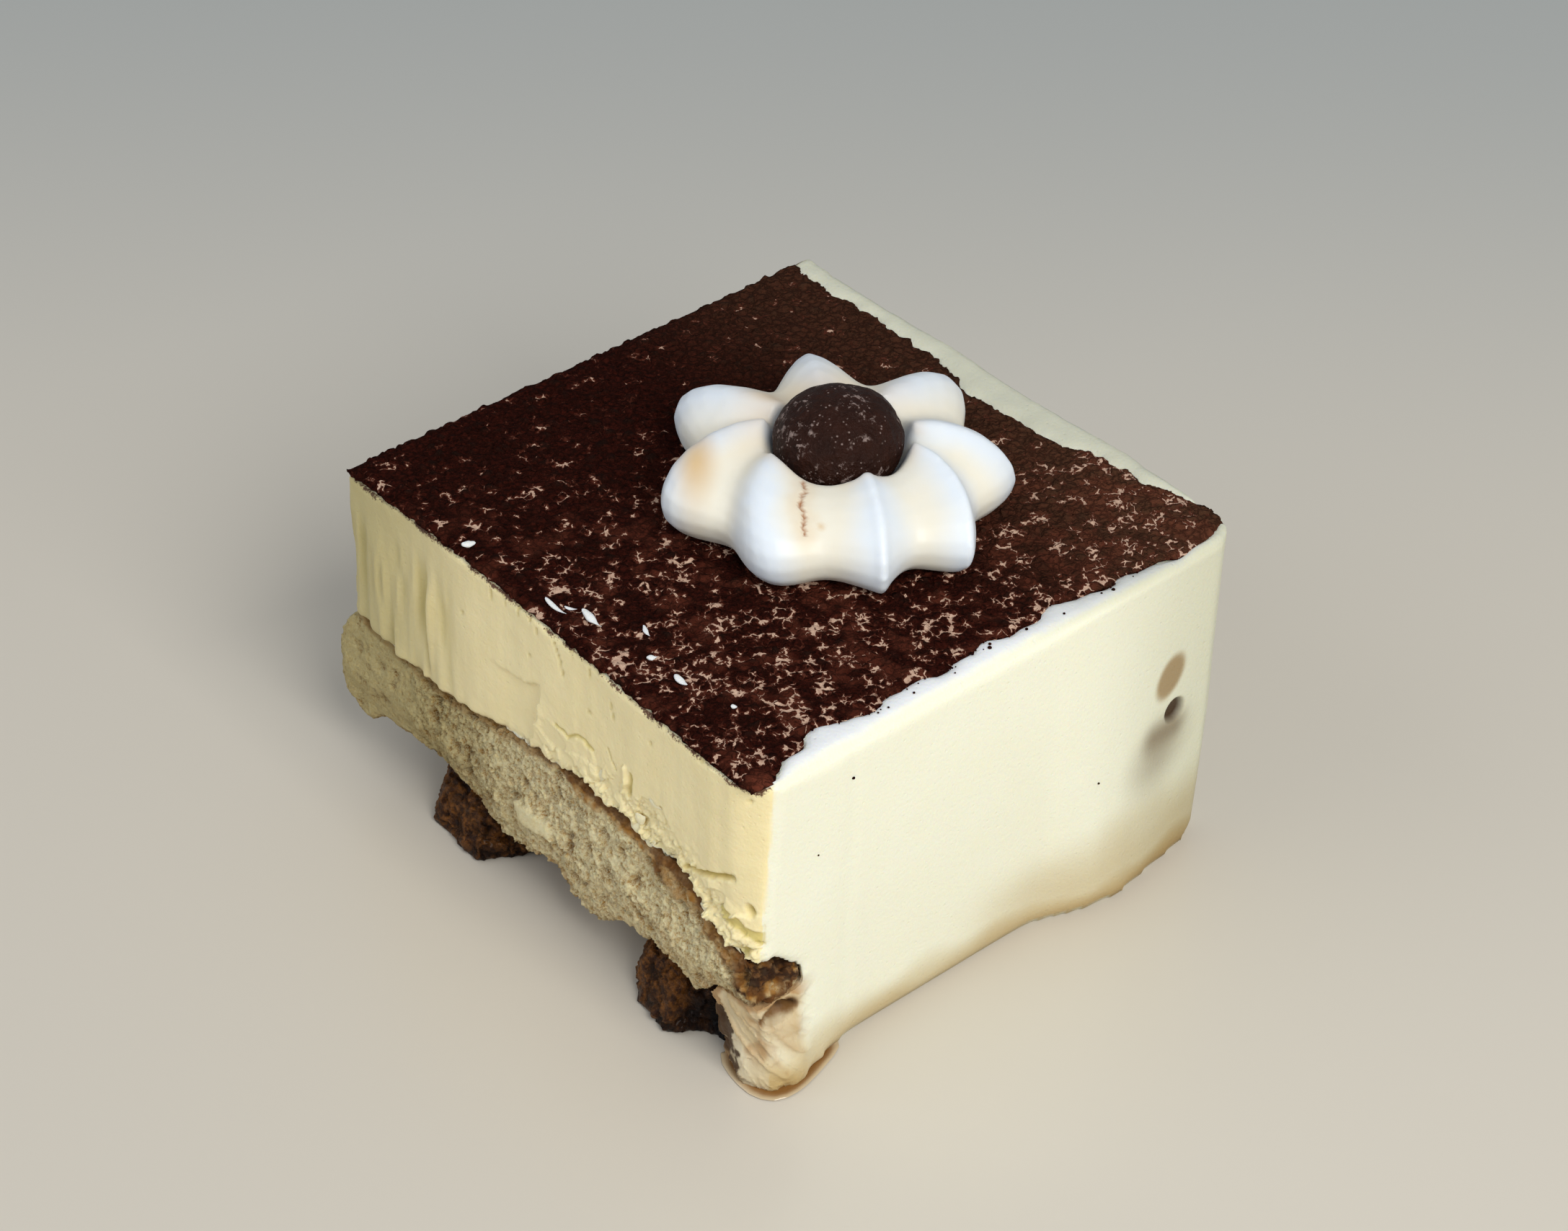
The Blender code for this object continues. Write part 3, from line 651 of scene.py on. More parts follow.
def make_cream(mat):
    lower = edge_profile("sponge", True)

    def cut_or_corner(x, y, z, nx, ny, nz):
        cut = (y < 0.8 - HALF_Y - front_reach(x, z)) & (ny < -0.2) & (z > lower(x) - 2)
        corner = (x > 30) & (y < -29) & (z < 23) & (z > 0.1) & (nx > -0.3) & (ny < 0.3)
        return cut, corner

    def edge_or_corner(*at):
        cut, corner = cut_or_corner(*at)
        return (cut & (at[0] > -6) & (at[2] < lower(at[0]) + 9)) | corner

    mesh = remeshed("cream", voxel=0.7)
    refine(mesh, lambda *at: np.logical_or(*cut_or_corner(*at)))
    refine(mesh, edge_or_corner)
    for middle_y, middle_z, reach in ((26, 26.5, 8), (27.3, 23.9, 3.2)):
        refine(mesh, lambda x, y, z, *n: (x > 37) & (np.hypot(y - middle_y, z - middle_z) < reach))
    points, normals, x, y, z, nx, ny, nz = opened(mesh)
    above = z - lower(x)
    deep = y + HALF_Y + front_reach(x, z)
    near = smooth(32, 35, x) * smooth(17, 21, z)
    cavity = smooth(1.2, 0.95, inside(points, *CAVITY))
    corner = smooth(26.5, 28.5, x) * smooth(16, 14, z)
    corner *= smooth(-25, -29, y + 5.5 * smooth(37.5, 39.5, x))
    front = smooth(0.9, 0.3, deep - 0.8 * near) * smooth(-0.2, -0.6, ny) * (1 - corner)
    left = smooth(-38.3, -39, x) * smooth(-0.2, -0.6, nx)
    right = smooth(0.3, 0.8, nx) * smooth(36.8, 37.8, x)
    back = smooth(0.3, 0.8, ny) * smooth(34.5, 35.5, y)

    relief, hollow = front_relief(x, z, above)
    side = columns(y + 90, 0, z)
    side_relief = 0.5 * rough(side * (1, 1, 0.4), 4, 4, 81)
    side_relief += 0.3 * smooth(9, 1, above) * plates(side, 3, 85)
    streaks = 0.14 * rough(points, 22, 2, 91) - 0.12 * hill(y + 0.5 * noise(points, 9, 93), -25.8, 1.5)
    streaks += 0.02 * rough(points * (1, 1, 0.2), 3, 2, 92)

    # The torn foot of the front corner: soft folds, with a few sharp creases.
    slow = points * (1, 1, 0.55) + 0.8 * push(points, 3, 104)
    fall, drift = 0.7 * (x + y) + 0.7 * z, 0.7 * z - 0.7 * (x + y)
    drawn = columns(fall, 0.3 * drift, 0)
    crease = (1 - np.abs(noise(drawn, 2.2, 103))) ** 8 + 0.5 * (1 - np.abs(noise(drawn, 0.9, 107))) ** 8
    folds = (0.4 * rough(slow, 3.4, 4, 101) + 0.4 * crease - 0.25) * (1 - 0.6 * cavity)
    folds += 0.5 * smooth(34.8, 32.6, x) * rough(points, 1.3, 3, 108)

    # The lower edge of the cut hangs in shreds, or is torn back from the crust.
    edge = columns(x + y, 0.25 * y, 0)
    tooth, _, _ = cells(edge, 1.15, 117)
    fringe = 0.6 * rough(edge, 3.4, 3, 111, 0.6) + 0.75 * tooth - 0.5
    fringe *= smooth(-20, 4, x) * 0.7 + 0.3
    lip = smooth(2.2, 0.4, deep) * smooth(3.2, 0.2, above) * smooth(-2.5, -1, above) * (1 - corner)
    roof = z - np.interp(y, (-40.3, -33.5), (20.4, 17.2))
    lip = most(lip, smooth(36.5, 37.5, x) * smooth(-32, -33.5, y) * smooth(2, 0.2, np.abs(roof)))

    points[:, 1] -= front * (relief + near * np.clip(deep, -1, 1))
    points[:, 1] -= lip * 0.3 * smooth(0.2, -0.4, fringe)
    points[:, 2] += lip * fringe
    points[:, 0] -= left * side_relief
    points[:, 0] += right * streaks * (1 - corner)
    points[:, 1] += back * streaks
    points += (corner * (folds + 0.75 * smooth(7, 1.5, z) * smooth(33, 36, x)))[:, None] * normals
    crest = smooth(TOP - 1.2, TOP - 0.3, z)
    points[:, 2] += crest * (0.15 * rough(points, 1.5, 3, 121) + 0.1)

    # Of the hole in the side only a small pit is deep: the rest is filled level.
    reach = inside(columns(x, y, z), *SIDE_HOLE)
    wall = columns(1, y, z)
    around = (reach > 1.8) & (reach < 2.8) & (nx > 0.9)
    level = wall @ np.linalg.lstsq(wall[around], points[around, 0], rcond=None)[0]
    facing = smooth(-0.5, -0.2, nx) * smooth(36.5, 37, x)
    filled = smooth(1.8, 1.4, reach) * facing
    points[:, 0] += filled * (level - points[:, 0])
    relax(mesh, points, filled, passes=15)
    patch, shade_below_pit, pit = side_paints(points[:, 1], points[:, 2])
    points[:, 0] -= 0.9 * filled * pit
    right = most(right, filled)

    # The upright edge between the cut and the smooth side, and the top edge, are soft.
    out_x = points[:, 0] - HALF_X
    out_y = -HALF_Y - front_reach(np.full_like(z, HALF_X), z) - points[:, 1]
    shift_x, shift_y = rounding(out_x, out_y, radius=0.9) * smooth(15, 17, z)
    points[:, 0] += shift_x
    points[:, 1] -= shift_y
    roll = np.interp(y, (-37, -31, 6, 17), (1.4, 2.3, 2.1, 0.8)) + 0.25 * noise(points, 5, 125)
    out_x = points[:, 0] - HALF_X
    points[:, (0, 2)] += rounding(out_x, points[:, 2] - TOP, roll).T
    relax(mesh, points, smooth(2.5, 1, z) * smooth(36, 38, x) * (1 - corner), passes=8)
    points[:, 2] = np.where(z < 0.05, 0, np.maximum(points[:, 2], 0))
    write_points(mesh, points)

    turn = nx + 0.15 * noise(points, 3, 151)
    cut = most(front * smooth(0.97, 0.8, turn), left)
    paint(mesh, "cut", cut)
    # The bare cream rim on top is painted bluish-white where it faces up, away from the rounded edge and
    # less towards the back: painted sky light.
    lit = smooth(-0.25, -0.6, out_x / roll + 0.2 * rough(points, 2.4, 3, 126))
    paint(mesh, "rim", crest * smooth(0.3, 0.7, nz) * lit * (1 - 0.7 * smooth(27, 33, y)))
    paint(mesh, "dust", 0.9 * cut * smooth(2.2, 0.6, TOP - z + 0.9 * rough(edge, 1.8, 4, 141)))
    beige = 0.95 * corner * smooth(-31.5, -34.5, y + 0.8 * noise(points, 1.5, 133))
    beige *= 0.75 + 0.5 * rough(drawn, 3, 2, 139)
    paint(mesh, "beige", most(beige, right * patch))
    crumbs = rough(slow, 3, 3, 132) + 0.9 * smooth(34.8, 31.5, x) + 0.9 * smooth(12.2, 14.6, z)
    # Inside the foot's cavity the mouth is painted brown and the ceiling dark, as painted shade; crumbs and
    # creases of the foot are brown too.
    mouth = cavity * smooth(10.2, 11, z + 0.6 * noise(points, 1.4, 137))
    brown = most(0.75 * smooth(0.15, 0.6, crumbs), mouth, 0.35 * crease)
    # The foot of the smooth side: a soaked band at the floor, and broad painted shade over its lower, far
    # part.
    tide = z + 1.6 * noise(points, 6, 131)
    soak_and_shade = smooth(7.5, 0, tide) * (0.45 + 0.25 * smooth(-8, 28, y))
    soak_and_shade = right * most(soak_and_shade, 0.3 * smooth(15, 5, tide) * smooth(-12, 12, y))
    # The cut's recesses take painted yellow-olive shade; the smooth side's foot takes its soak and shade as
    # well.
    paint(mesh, "hollow", most(front * hollow, 1.1 * soak_and_shade))
    line = smooth(1, 0.2, above + 0.3 * fringe) * smooth(12, 4, x) * smooth(-36, -30, x)
    boundary = front * line * smooth(-0.4, 0.3, noise(columns(x, 0, z), 2.4, 135))
    paint(mesh, "stain", most(soak_and_shade, corner * brown, 0.8 * boundary, 0.3 * right * patch))
    # Painted shade over the patch and in a soft band and cloud below the pit.
    paint(mesh, "grey", right * shade_below_pit)
    ceiling = cavity * smooth(10.9, 12, z + 0.6 * noise(points, 1, 136))
    outer_end = smooth(36.8, 33.8, x - 0.4 * np.clip(6 - z, 0, 6) + 1.2 * noise(points, 2.4, 138))
    outer_end *= smooth(11, 8, z)
    spots = smooth(0.45, 0.7, 0.8 * rough(points, 1.5, 3, 134) + outer_end) * smooth(0.2, 1.5, z)
    pit_dark = 0.95 * pit * smooth(37, 38, x)
    # Painted shadow in the cavity's mouth and under its roof.
    cavity_shadow = (0.55 * mouth + 0.43 * ceiling) * corner
    paint(mesh, "dark", most(0.96 * corner * spots, cavity_shadow, pit_dark))
    # Painted shade: the smooth side and top edge darker towards the back, the cut darker towards -X.
    side_far_shade = most(0.58 * right * smooth(6, 36, y), 0.7 * crest * smooth(-5, 25, y))
    paint(mesh, "far", most(side_far_shade, cut * smooth(-8, -38, x)))
    return show("cream_layer", mesh, mat, "cream")


# ---- the two sponges

def make_sponge(mat):
    upper = edge_profile("sponge", True)
    lower = edge_profile("sponge", False)

    def near_cut(x, y, z, nx, ny, nz):
        return (y < 2 - HALF_Y - front_reach(x, z)) & (ny < 0.1)

    mesh = remeshed("sponge", voxel=0.8)
    refine(mesh, lambda *at: near_cut(*at) | (at[0] < -37.5) | (at[0] > 36.5))
    refine(mesh, lambda *at: near_cut(*at) | ((at[0] > 36.5) & (at[1] < -28)))

    points, normals, x, y, z, nx, ny, nz = opened(mesh)
    deep = y + HALF_Y + front_reach(x, z)
    corner = smooth(35.5, 37.5, x) * smooth(-27, -30, y)
    hanging = smooth(0.1, -0.6, nz) * smooth(7, 3, deep)
    open_face = most(smooth(2.6, 1, deep) * smooth(0.3, -0.4, ny), corner * smooth(-0.1, 0.4, nx),
                     smooth(-37, -39.5, x) * smooth(0.1, -0.4, nx), 0.7 * hanging)

    thread = most(strands(points, 0.9, 201), 0.9 * strands(points, 0.5, 207))
    bent = points + 0.4 * push(points, 1.2, 231)
    first, _, tag = cells(bent, 2.3, 241)
    pore = smooth(0.6, 0.2, first) * smooth(0.4, 0.75, tag)
    swell = 0.6 * rough(points, 5, 3, 211) + 0.15 * rough(points, 1.6, 2, 212)
    end = smooth(-22, -33, x)
    relief = swell + (1 - 0.7 * end) * (0.45 * thread - 0.9 * pore) - 0.25
    relief += 0.5 * corner * rough(points, 1.1, 3, 213)
    along, across = 0.91 * (x + 2.5) + 0.41 * (z - 15.2), 0.91 * (z - 15.2) - 0.41 * (x + 2.5)
    flake = most(np.abs(along) / 3, np.abs(across + 0.35 * along) / 1.2)
    flake = smooth(1.12, 0.95, flake + 0.2 * rough(points, 1.3, 3, 214))
    flake *= smooth(0, -0.4, ny)
    relief += flake * (0.7 - relief + 0.15 * noise(points, 2, 215))
    points += (open_face * relief)[:, None] * normals
    write_points(mesh, points)

    below = upper(x) - z
    flat = columns(x, 0, z)
    width = np.interp(x, (-40, 2, 8, 24, 38), (0.5, 0.7, 2.2, 3, 2.6))
    width *= 1 + 0.5 * noise(flat, 3, 221)
    crust = smooth(1.15, 0.75, below / width + 0.25 * rough(flat, 1, 3, 228)) * smooth(-12, 6, x)
    seam = smooth(1.4, 0.5, below + 0.3 * noise(flat, 1.6, 229))
    clumps = blob(x, z, (25, 23.4), (11.5, 5.2), -0.3)
    clumps *= smooth(0.15, -0.25, rough(points, 2.6, 3, 222) - 0.1)
    under = smooth(2.6, 0.2, z - lower(x) + 1.2 * noise(points, 2.4, 223))
    under *= 0.3 + 0.7 * hill(x, -2, 18)
    broken = corner * smooth(-0.2, 0.3, rough(points, 2.4, 3, 226) + 0.35)
    stain = most(0.9 * crust, 0.65 * seam, 0.8 * clumps, 0.6 * under, 0.45 * hanging, broken)
    paint(mesh, "stain", stain * (0.8 + 0.4 * noise(points, 0.9, 224)) * (1 - flake))
    dark = 0.6 * seam + 0.15 + 0.6 * rough(flat, 1.3, 3, 230) + 0.2 * smooth(14, 30, x)
    dark = crust * smooth(0.25, 0.7, dark)
    dark = most(0.9 * dark, broken * smooth(-0.8, 0.2, noise(points, 1.1, 225)))
    paint(mesh, "crust", 0.85 * dark)
    # Black patches in the broken corner of the sponge, more towards its top.
    black_share = 0.8 * rough(points, 1.1, 3, 227) + 0.4 * smooth(15.5, 18.5, z)
    paint(mesh, "black", 0.8 * corner * smooth(0.25, 0.5, black_share))
    # Threads painted lighter and pores darker: painted light and shade; the -X end and the flake are paler
    # of themselves.
    paint(mesh, "fibre", 0.2 + 0.8 * thread - 0.4 * pore + 0.4 * end + 0.6 * flake)
    # Painted shade in the hollows of the open crumb.
    hollows = np.clip(0.25 - thread + 0.9 * pore - 0.3 * swell, 0, 1)
    paint(mesh, "deep", open_face * hollows * (1 - 0.7 * end) * (1 - flake))
    # Painted shade: darker towards -X.
    paint(mesh, "far", 0.95 * smooth(2, -26, x))
    return show("sponge_layer", mesh, mat, "sponge")


def make_soaked_sponge(mat):
    mesh = remeshed("soaked_sponge", voxel=0.6)
    refine(mesh, lambda x, y, z, *n: (y < -30) & (z > 0.3))
    points, normals, *_ = opened(mesh)
    x, y, z = points.T
    bent = points + 1.3 * push(points, 2.4, 301, 3, 3)
    first, second, _ = cells(bent, 2.7, 311)
    gap = smooth(0.22, 0, second - first) * smooth(-0.3, 0.2, noise(points, 2.2, 317))
    thread = strands(points, 1.3, 318)
    lumps = 0.9 * rough(points, 4.5, 4, 312, 0.6) + 0.3 * (0.6 - first) - 0.5 * gap + 0.35 * thread - 0.15
    free = smooth(-18, -24, y)
    rise = smooth(0, 0.8, z)
    points += (rise * (0.3 + 0.7 * free) * lumps)[:, None] * normals
    points[:, 2] = np.maximum(points[:, 2], 0)
    write_points(mesh, points)
    # Painted shade: darker in the gaps between lumps and near the floor, lighter on the threads.
    shade = 0.5 * gap + 0.6 * rough(points, 2.5, 3, 321) - 0.6 * thread + 0.3 + 0.3 * smooth(4, 0.5, z)
    paint(mesh, "deep", shade)
    paint(mesh, "black", smooth(22.5, 28, x + 1.5 * noise(points, 2, 322)))
    return show("soaked_layer", mesh, mat, "soaked_sponge")


# ---- the cocoa top

def cocoa_edges():
    """The -Y, +X and +Y edges of the CAD cocoa: the first and last as functions of x,
    the middle one of y."""
    points = read_points(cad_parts["cocoa"].data)
    upper = points[points[:, 2] > TOP - 0.1]
    front = upper[upper[:, 1] < -36.5]
    right = upper[(upper[:, 0] > 33) & (upper[:, 1] < 33.5)]
    back = upper[(upper[:, 1] > 29) & (upper[:, 0] < 35.5)]
    front, back = front[np.argsort(front[:, 0])], back[np.argsort(back[:, 0])]
    right = right[np.argsort(right[:, 1])]
    return (lambda x: np.interp(x, front[:, 0], front[:, 1]),
            lambda y: np.interp(y, right[:, 1], right[:, 0]),
            lambda x: np.interp(x, back[:, 0], back[:, 1]))


def make_cocoa(mat):
    """A grid whose outer rows follow the ragged edges, closed by a flat base."""
    step, span_x, span_y, start_y = 0.28, 78, 74, -39
    across, along = round(span_x / step), round(span_y / step)
    u, v = np.meshgrid(np.linspace(0, 1, across), np.linspace(0, 1, along), indexing="ij")
    front_edge, right_edge, back_edge = cocoa_edges()
    near_x, near_y = -HALF_X + span_x * u, start_y + span_y * v
    shore = columns(near_x.ravel(), near_y.ravel(), 0)
    ragged = (0.5 * rough(shore, 1.4, 4, 401, 0.7)).reshape(u.shape)
    last_x = right_edge(near_y)
    x = -HALF_X + u * (last_x + HALF_X) + ragged * u ** 8
    first_y, last_y = front_edge(near_x), back_edge(near_x)
    y = first_y + v * (last_y - first_y) + ragged * v ** 8 + 1.1 * ragged * (1 - v) ** 40
    shift_x, shift_y = rounding(x - last_x, y - last_y, radius=4)
    x, y = (x + shift_x).ravel(), (y + shift_y).ravel()
    flat = columns(x, y, 0)
    warped = flat + 0.4 * push(flat, 1.2, 411, 2)
    first, second, tag = cells(warped, 1.45, 421)
    border = np.maximum(second - first, 0)
    towards = smooth(-36, 34, 0.8 * x - 0.55 * y) + 0.4 * smooth(12, 34, y) * smooth(-5, 30, x)
    bare = np.interp(towards, (0, 0.3, 0.6, 1), (-0.03, 0.02, 0.08, 0.12)) + 0.05 * noise(flat, 4.5, 431)
    relief = 0.4 * smooth(0, 0.5, border) * (0.4 + 0.6 * tag) + 0.14 * rough(flat, 0.9, 3, 441) - 0.28
    edge_x, edge_y = np.minimum(u, 1 - u) * (span_x - 1), np.minimum(v, 1 - v) * (span_y - 1)
    sag = smooth(1.1, 0, np.minimum(edge_x, edge_y).ravel()) * (0.7 + 0.5 * noise(flat, 1.3, 445))
    top = columns(x, y, TOP + 0.06 + relief - 0.6 * sag)
    index = np.arange(u.size).reshape(u.shape)
    corners = np.stack([index[:-1, :-1], index[1:, :-1], index[1:, 1:], index[:-1, 1:]], axis=-1)
    faces = corners.reshape(-1, 4).tolist()
    ring = [*index[:, 0], *index[-1, 1:], *index[-2::-1, -1], *index[0, -2:0:-1]]
    foot = top[ring]
    foot[:, 2] = COCOA_LOW.z / MM
    close_below(faces, ring, len(top))
    mesh = from_faces("cocoa", np.concatenate([top, foot]), faces)
    tip = blob(x, y, (38.6, -38.4), (3.4, 3))
    clump = smooth(0.35, 0.9, tag) * smooth(0.1, 0.5, border)
    dusty = 0.55 * smooth(0, 34, y) * (0.6 + 0.4 * smooth(-20, 30, x))
    red = 0.3 * smooth(0, 0.5, rough(flat, 2.4, 2, 433)) * smooth(0.3, 0.8, towards)
    for name, values in zip(COCOA_PAINTS, (bare - 0.3 * tip, clump, dusty, red + 0.8 * tip)):
        paint(mesh, name, np.append(values, np.zeros(len(ring))))
    return show("cocoa_dusting", mesh, mat, "cocoa")


# ---- meringue and ball

# Petals: angle of the tip, how far the crest leans at the rim, outer radius, crispness.
PETALS = (
    (3, 32, 22.3, 0.6), (48, 12, 21.4, 0.2), (100, 2, 23.6, 0), (148, 2, 23.8, 0.2),
    (192, 2, 24.4, 0), (246, -31, 22.1, 0), (295, -30, 20.9, 0), (333, 6, 21.4, 1),
)
FLOWER_RIM_RADIUS = 9.2


def make_meringue(mat):
    mesh = remeshed("meringue", voxel=0.36, smoothing=10)
    points, normals, x, y, z, *_ = opened(mesh)
    radius = np.hypot(x - BALL[0], y - BALL[1])
    angle = np.arctan2(y - BALL[1], x - BALL[0])
    outer = smooth(8.2, 9.6, radius) * smooth(TOP + 0.4, TOP + 1.5, z)

    crest = np.zeros(len(points))
    lift = np.zeros(len(points))
    for tip, lean, reach, crisp in PETALS:
        share = np.clip((reach - radius) / (reach - FLOWER_RIM_RADIUS), 0, 1)
        off = turn_from(angle, radians(tip) + radians(lean) * share)
        crest = most(crest, 1 - smooth(0, 0.36, np.abs(off)))
        lift += 0.3 * crisp * np.exp(-(off * radius / 0.8) ** 2)
    swirl = 0.25 * rough(points, 8, 2, 501)
    wander = 0.45 * rough(points, 1.4, 3, 511)
    split = off_line(x + wander, y + 0.5 * wander, ((8.4, -5.7), (11, -8.4), (14.4, -10.9)))
    crack = outer * smooth(0.3, 0, split)
    points += (outer * (lift + swirl - 0.5 * crack))[:, None] * normals
    write_points(mesh, points)

    toast = blob(x, y, (-3.2, -12.6), (7.5, 3.8), radians(-41.5))
    back = 0.75 * blob(x, y, (-6, 1.5), (6.5, 4), radians(20))
    behind = 0.5 * smooth(1.9, 0.6, np.abs(turn_from(angle, radians(165)))) * smooth(17, 9, radius)
    dot = 0.7 * blob(x, y, (14.9, -8.9), (0.9, 0.7))
    split_halo = 0.35 * smooth(2.4, 0.3, split)
    rim = 0.35 * smooth(11.5, 9, radius) * smooth(56.2, 57.2, z)
    # Crests take the painted bluish sky light, valleys the warmer shaded cream.
    paint(mesh, "valley", 1 - crest + 0.3 * rough(points, 4, 2, 521))
    paint(mesh, "toast", most(toast, back, behind, dot, split_halo, rim) * outer)
    paint(mesh, "crack", crack)
    return show("meringue_flower", mesh, mat, "meringue")


def make_ball(mat):
    mesh = remeshed("chocolate_ball", voxel=0.3, smoothing=6)
    points, normals, *_ = opened(mesh)
    lumps = 0.2 * rough(points, 3.2, 3, 601) + 0.12 * rough(points, 1.1, 2, 602)
    points += (lumps + 0.05)[:, None] * normals
    write_points(mesh, points)
    return show("chocolate_praline", mesh, mat, "chocolate_ball")


# ---- scraps, grains, syrup

def sliver(length, width, seed, point, bend, depth=0.3):
    """A drop-shaped shaving along x, blunt at -x and pointed at +x, depth widths thick."""
    points, faces = ball_mesh(4)
    along = points[:, 0]
    taper = 1 - point * smooth(-0.4, 1, along)
    body = points * (0.5 * length, 0.5 * width, depth * width)
    body[:, 1:] *= taper[:, None]
    body *= (1 + 0.2 * rough(points + 5 * seed, 0.8, 3, 701))[:, None]
    body[:, 1] += bend * along ** 2
    body[:, 2] += 0.05 * length * along ** 2
    return body, faces


def make_cream_scraps(mat):
    """Shavings of cream on the cocoa: place, length, width, turn in degrees, taper."""
    scraps = (
        ((-17.2, -36.2), 1.7, 1.1, 70, 0.3), ((-0.9, -36.1), 4.2, 0.75, -2, 0.75),
        ((3.8, -34.4), 4, 1.15, -8, 0.9), ((0.4, -34.9), 1.6, 0.5, 30, 0.6),
        ((13.9, -33.6), 1.3, 0.9, 60, 0.9), ((9.6, -31), 2.2, 0.6, -20, 0.8),
        ((19.2, -33.9), 2.4, 0.95, -6, 0.45), ((26.7, -32.3), 0.8, 0.6, 15, 0.3),
    )
    parts = []
    for seed, (place, length, width, turn, point) in enumerate(scraps):
        body, faces = sliver(length, width, seed, point, 0.12)
        parts.append((turned(body, turn) + (*place, TOP + 0.22 * width), faces))
    mesh = joined("cream_scraps", parts)
    # The shavings take most of the rim's bluish-white: painted sky light on bare cream.
    paint_evenly(mesh, CREAM_PAINTS, rim=0.8)
    return show("cream_scraps", mesh, mat, None)


def make_torn_chips(mat):
    """Flat chips torn up from the cut: x, z, length, width, turn in degrees."""
    chips = (
        (10.9, 30.9, 2.4, 1.1, 80), (15.7, 32.9, 2.6, 1, 85), (18.4, 29.2, 2.1, 1.6, 35),
        (21.2, 33.3, 2.6, 0.8, -8), (20.4, 26.9, 2.2, 1.3, 30), (17.6, 27.4, 2.2, 1.5, 50),
        (31.4, 24.4, 2.8, 1.2, 12), (36.3, 22.2, 2, 0.9, -50),
    )
    parts = []
    for seed, (x, z, length, width, turn) in enumerate(chips):
        body, faces = sliver(length, width, seed + 20, 0.5, 0.1, 0.17)
        y = -HALF_Y - front_reach(np.array((x,)), np.array((z,)))[0] + 0.05
        lying = turned(body, turn)[:, (0, 2, 1)]
        parts.append((lying + (x, y, z), [face[::-1] for face in faces]))
    mesh = joined("torn_chips", parts)
    paint_evenly(mesh, CREAM_PAINTS, cut=0.65)
    return show("torn_chips", mesh, mat, None)


def make_cocoa_grains(mat, side):
    """Loose grains of cocoa on the cream rim, and specks in the smooth +X side."""
    rng = np.random.default_rng(11)
    loose_grains = 70
    _, right_edge, _ = cocoa_edges()
    unit, faces = ball_mesh(2)
    spots = [(x, y, TOP + 0.05, size) for x, y, size in (
        (37.4, -9.6, 0.17), (36.9, -5, 0.24), (36.9, -2.2, 0.2), (37.4, -2.7, 0.26), (37.3, 0.5, 0.17),
        (37.6, 3, 0.2), (38.7, 16.1, 0.22), (37.9, -15, 0.16), (38.3, 8.4, 0.16), (38, -19, 0.14))]
    for _ in range(loose_grains):
        y = rng.uniform(-30, 32)
        spots.append((right_edge(y) + rng.exponential(0.25), y, TOP, rng.uniform(0.08, 0.16)))
    for y, z, size in ((-25.8, 41.5, 0.22), (13.7, 20.1, 0.16), (-30.9, 32.9, 0.13)):
        away = np.hypot(side[:, 1] - y, side[:, 2] - z) + 9 * (side[:, 0] < 36)
        spots.append((side[np.argmin(away), 0] + 0.02, y, z, size))
    parts = [(unit * size * (1, 1, 0.8) + (x, y, z), faces) for x, y, z, size in spots]
    mesh = joined("cocoa_grains", parts)
    paint_evenly(mesh, COCOA_PAINTS)
    return show("cocoa_grains", mesh, mat, None)


def make_syrup(mat):
    """A thin film of coffee syrup round the foot of the front corner."""
    shore = ((30.8, -37.8), (32.4, -38.9), (34.4, -39.5), (36.4, -39.8), (38.3, -39.8), (39.9, -39.3),
             (41.1, -38.3), (41.7, -36.8), (41.8, -35.2), (41.6, -33.6), (41.1, -31.6), (40.5, -29.6),
             (39.9, -27.8), (39.2, -26.4), (38, -25.6), (36.5, -26.5), (33.5, -32), (31.4, -36.2))
    middle, count, rings, rounds = np.array((37.6, -34)), 360, 14, 12
    fine = np.linspace(0, len(shore), count, endpoint=False)
    whole = np.arange(len(shore) + 1)
    edge = columns(*[np.interp(fine, whole, [*axis, axis[0]]) for axis in np.array(shore).T])
    for _ in range(rounds):
        edge = 0.25 * (np.roll(edge, 1, axis=0) + np.roll(edge, -1, axis=0)) + 0.5 * edge
    points = []
    for ring in range(rings):
        share = 1 - ring / rings
        level = 0.02 + 0.1 * (1 - share ** 6) ** 0.5
        points.append(columns(*(middle + share * (edge - middle)).T, level))
    faces = []
    for ring in range(rings - 1):
        for i in range(count):
            outer, j = ring * count, (i + 1) % count
            faces.append([outer + i, outer + j, outer + count + j, outer + count + i])
    faces.append([(rings - 1) * count + i for i in range(count)])
    under = points[0] * (1, 1, 0) + (0, 0, 0.001)
    close_below(faces, range(count), rings * count)
    mesh = from_faces("coffee_syrup", np.concatenate([*points, under]), faces)
    thin = np.repeat(smooth(2.6, 0, np.arange(rings)), count)
    paint(mesh, "thin", np.append(thin, np.ones(count)))
    return show("coffee_syrup", mesh, mat, None)


# ---- stage

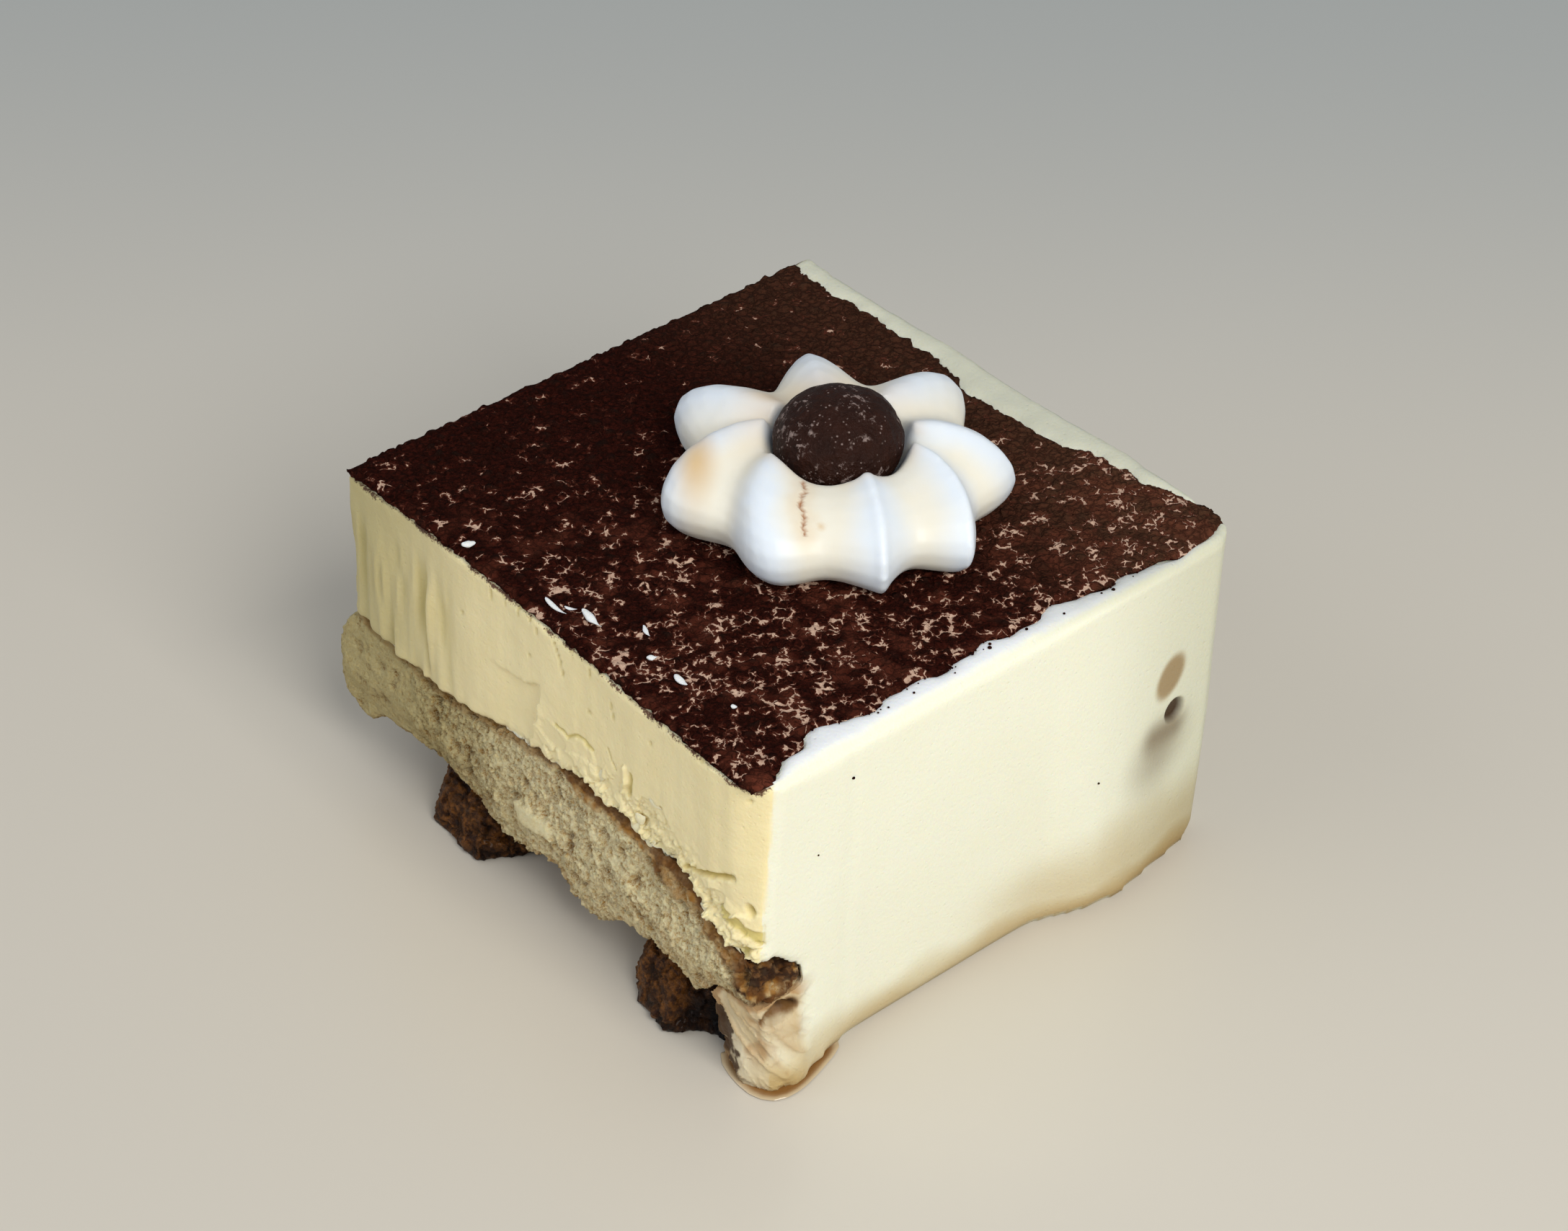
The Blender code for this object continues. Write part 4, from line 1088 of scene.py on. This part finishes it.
def make_stage():
    """A pale, slightly glossy floor, with soft light from +X and the camera's side."""
    bpy.ops.mesh.primitive_plane_add(size=4, location=(0, 0, -0.0002))
    floor = bpy.context.object
    floor.name = "floor"
    mat = Shader("floor", Roughness=0.28, Specular_IOR_Level=0.4)
    split = mat.node("SeparateXYZ", Vector=mat.place)
    away = mat.math("SUBTRACT", split.outputs["Y"], split.outputs["X"])
    colour = mat.mix(mat.range(away, 0.04, 0.34), (206, 199, 187), (178, 180, 177))
    floor.data.materials.append(mat.set(Base_Color=colour))

    scene = bpy.context.scene
    scene.view_settings.view_transform = "Standard"
    world = bpy.data.worlds.new("soft_room")
    world.use_nodes = True
    sky = world.node_tree.nodes["Background"].inputs
    sky["Color"].default_value = (0.9, 0.95, 1, 1)
    sky["Strength"].default_value = 0.4
    scene.world = world

    for name, place, size, power, colour in (
        ("window", (0.62, -0.15, 0.60), 0.45, 5.8, (1, 0.985, 0.94)),
        ("fill", (-0.40, -0.85, 0.60), 0.9, 3, (0.94, 0.96, 1)),
    ):
        light = bpy.data.lights.new(name, "AREA")
        light.size = size
        light.energy = power
        light.color = colour
        lamp = bpy.data.objects.new(name, light)
        lamp.location = place
        aim = Vector((0, 0, 0.03)) - Vector(place)
        lamp.rotation_euler = aim.to_track_quat("-Z", "Y").to_euler()
        scene.collection.objects.link(lamp)


def make_camera():
    """Looks down on the front corner, as the slice is seen from a chair."""
    azimuth, elevation, roll = radians(48.4835), radians(37.218), radians(0.6838)
    distance, target = 0.5048, np.array((-10.45, 7.97, 18.75))
    back = Vector((sin(azimuth) * cos(elevation), -cos(azimuth) * cos(elevation), sin(elevation)))
    right = Vector((cos(azimuth), sin(azimuth), 0))
    up = back.cross(right)
    rolled_right = right * cos(roll) + up * sin(roll)
    rolled_up = up * cos(roll) - right * sin(roll)
    data = bpy.data.cameras.new("camera")
    data.lens = 90.43
    data.sensor_width = 36
    data.clip_start = 0.01
    camera = bpy.data.objects.new("camera", data)
    place = Vector((target + ORIGIN) * MM) + back * distance
    turn = Matrix((rolled_right, rolled_up, back)).transposed()
    camera.matrix_world = Matrix.Translation(place) @ turn.to_4x4()
    bpy.context.scene.collection.objects.link(camera)
    bpy.context.scene.camera = camera


make_camera()
make_stage()
cream = cream_material()
cocoa = cocoa_material()
cream_piece = make_cream(cream)
make_torn_chips(cream)
make_sponge(sponge_material())
make_soaked_sponge(soaked_material())
make_cocoa(cocoa)
make_meringue(meringue_material())
make_ball(chocolate_material())
make_cream_scraps(cream)
make_cocoa_grains(cocoa, read_points(cream_piece.data))
make_syrup(syrup_material())
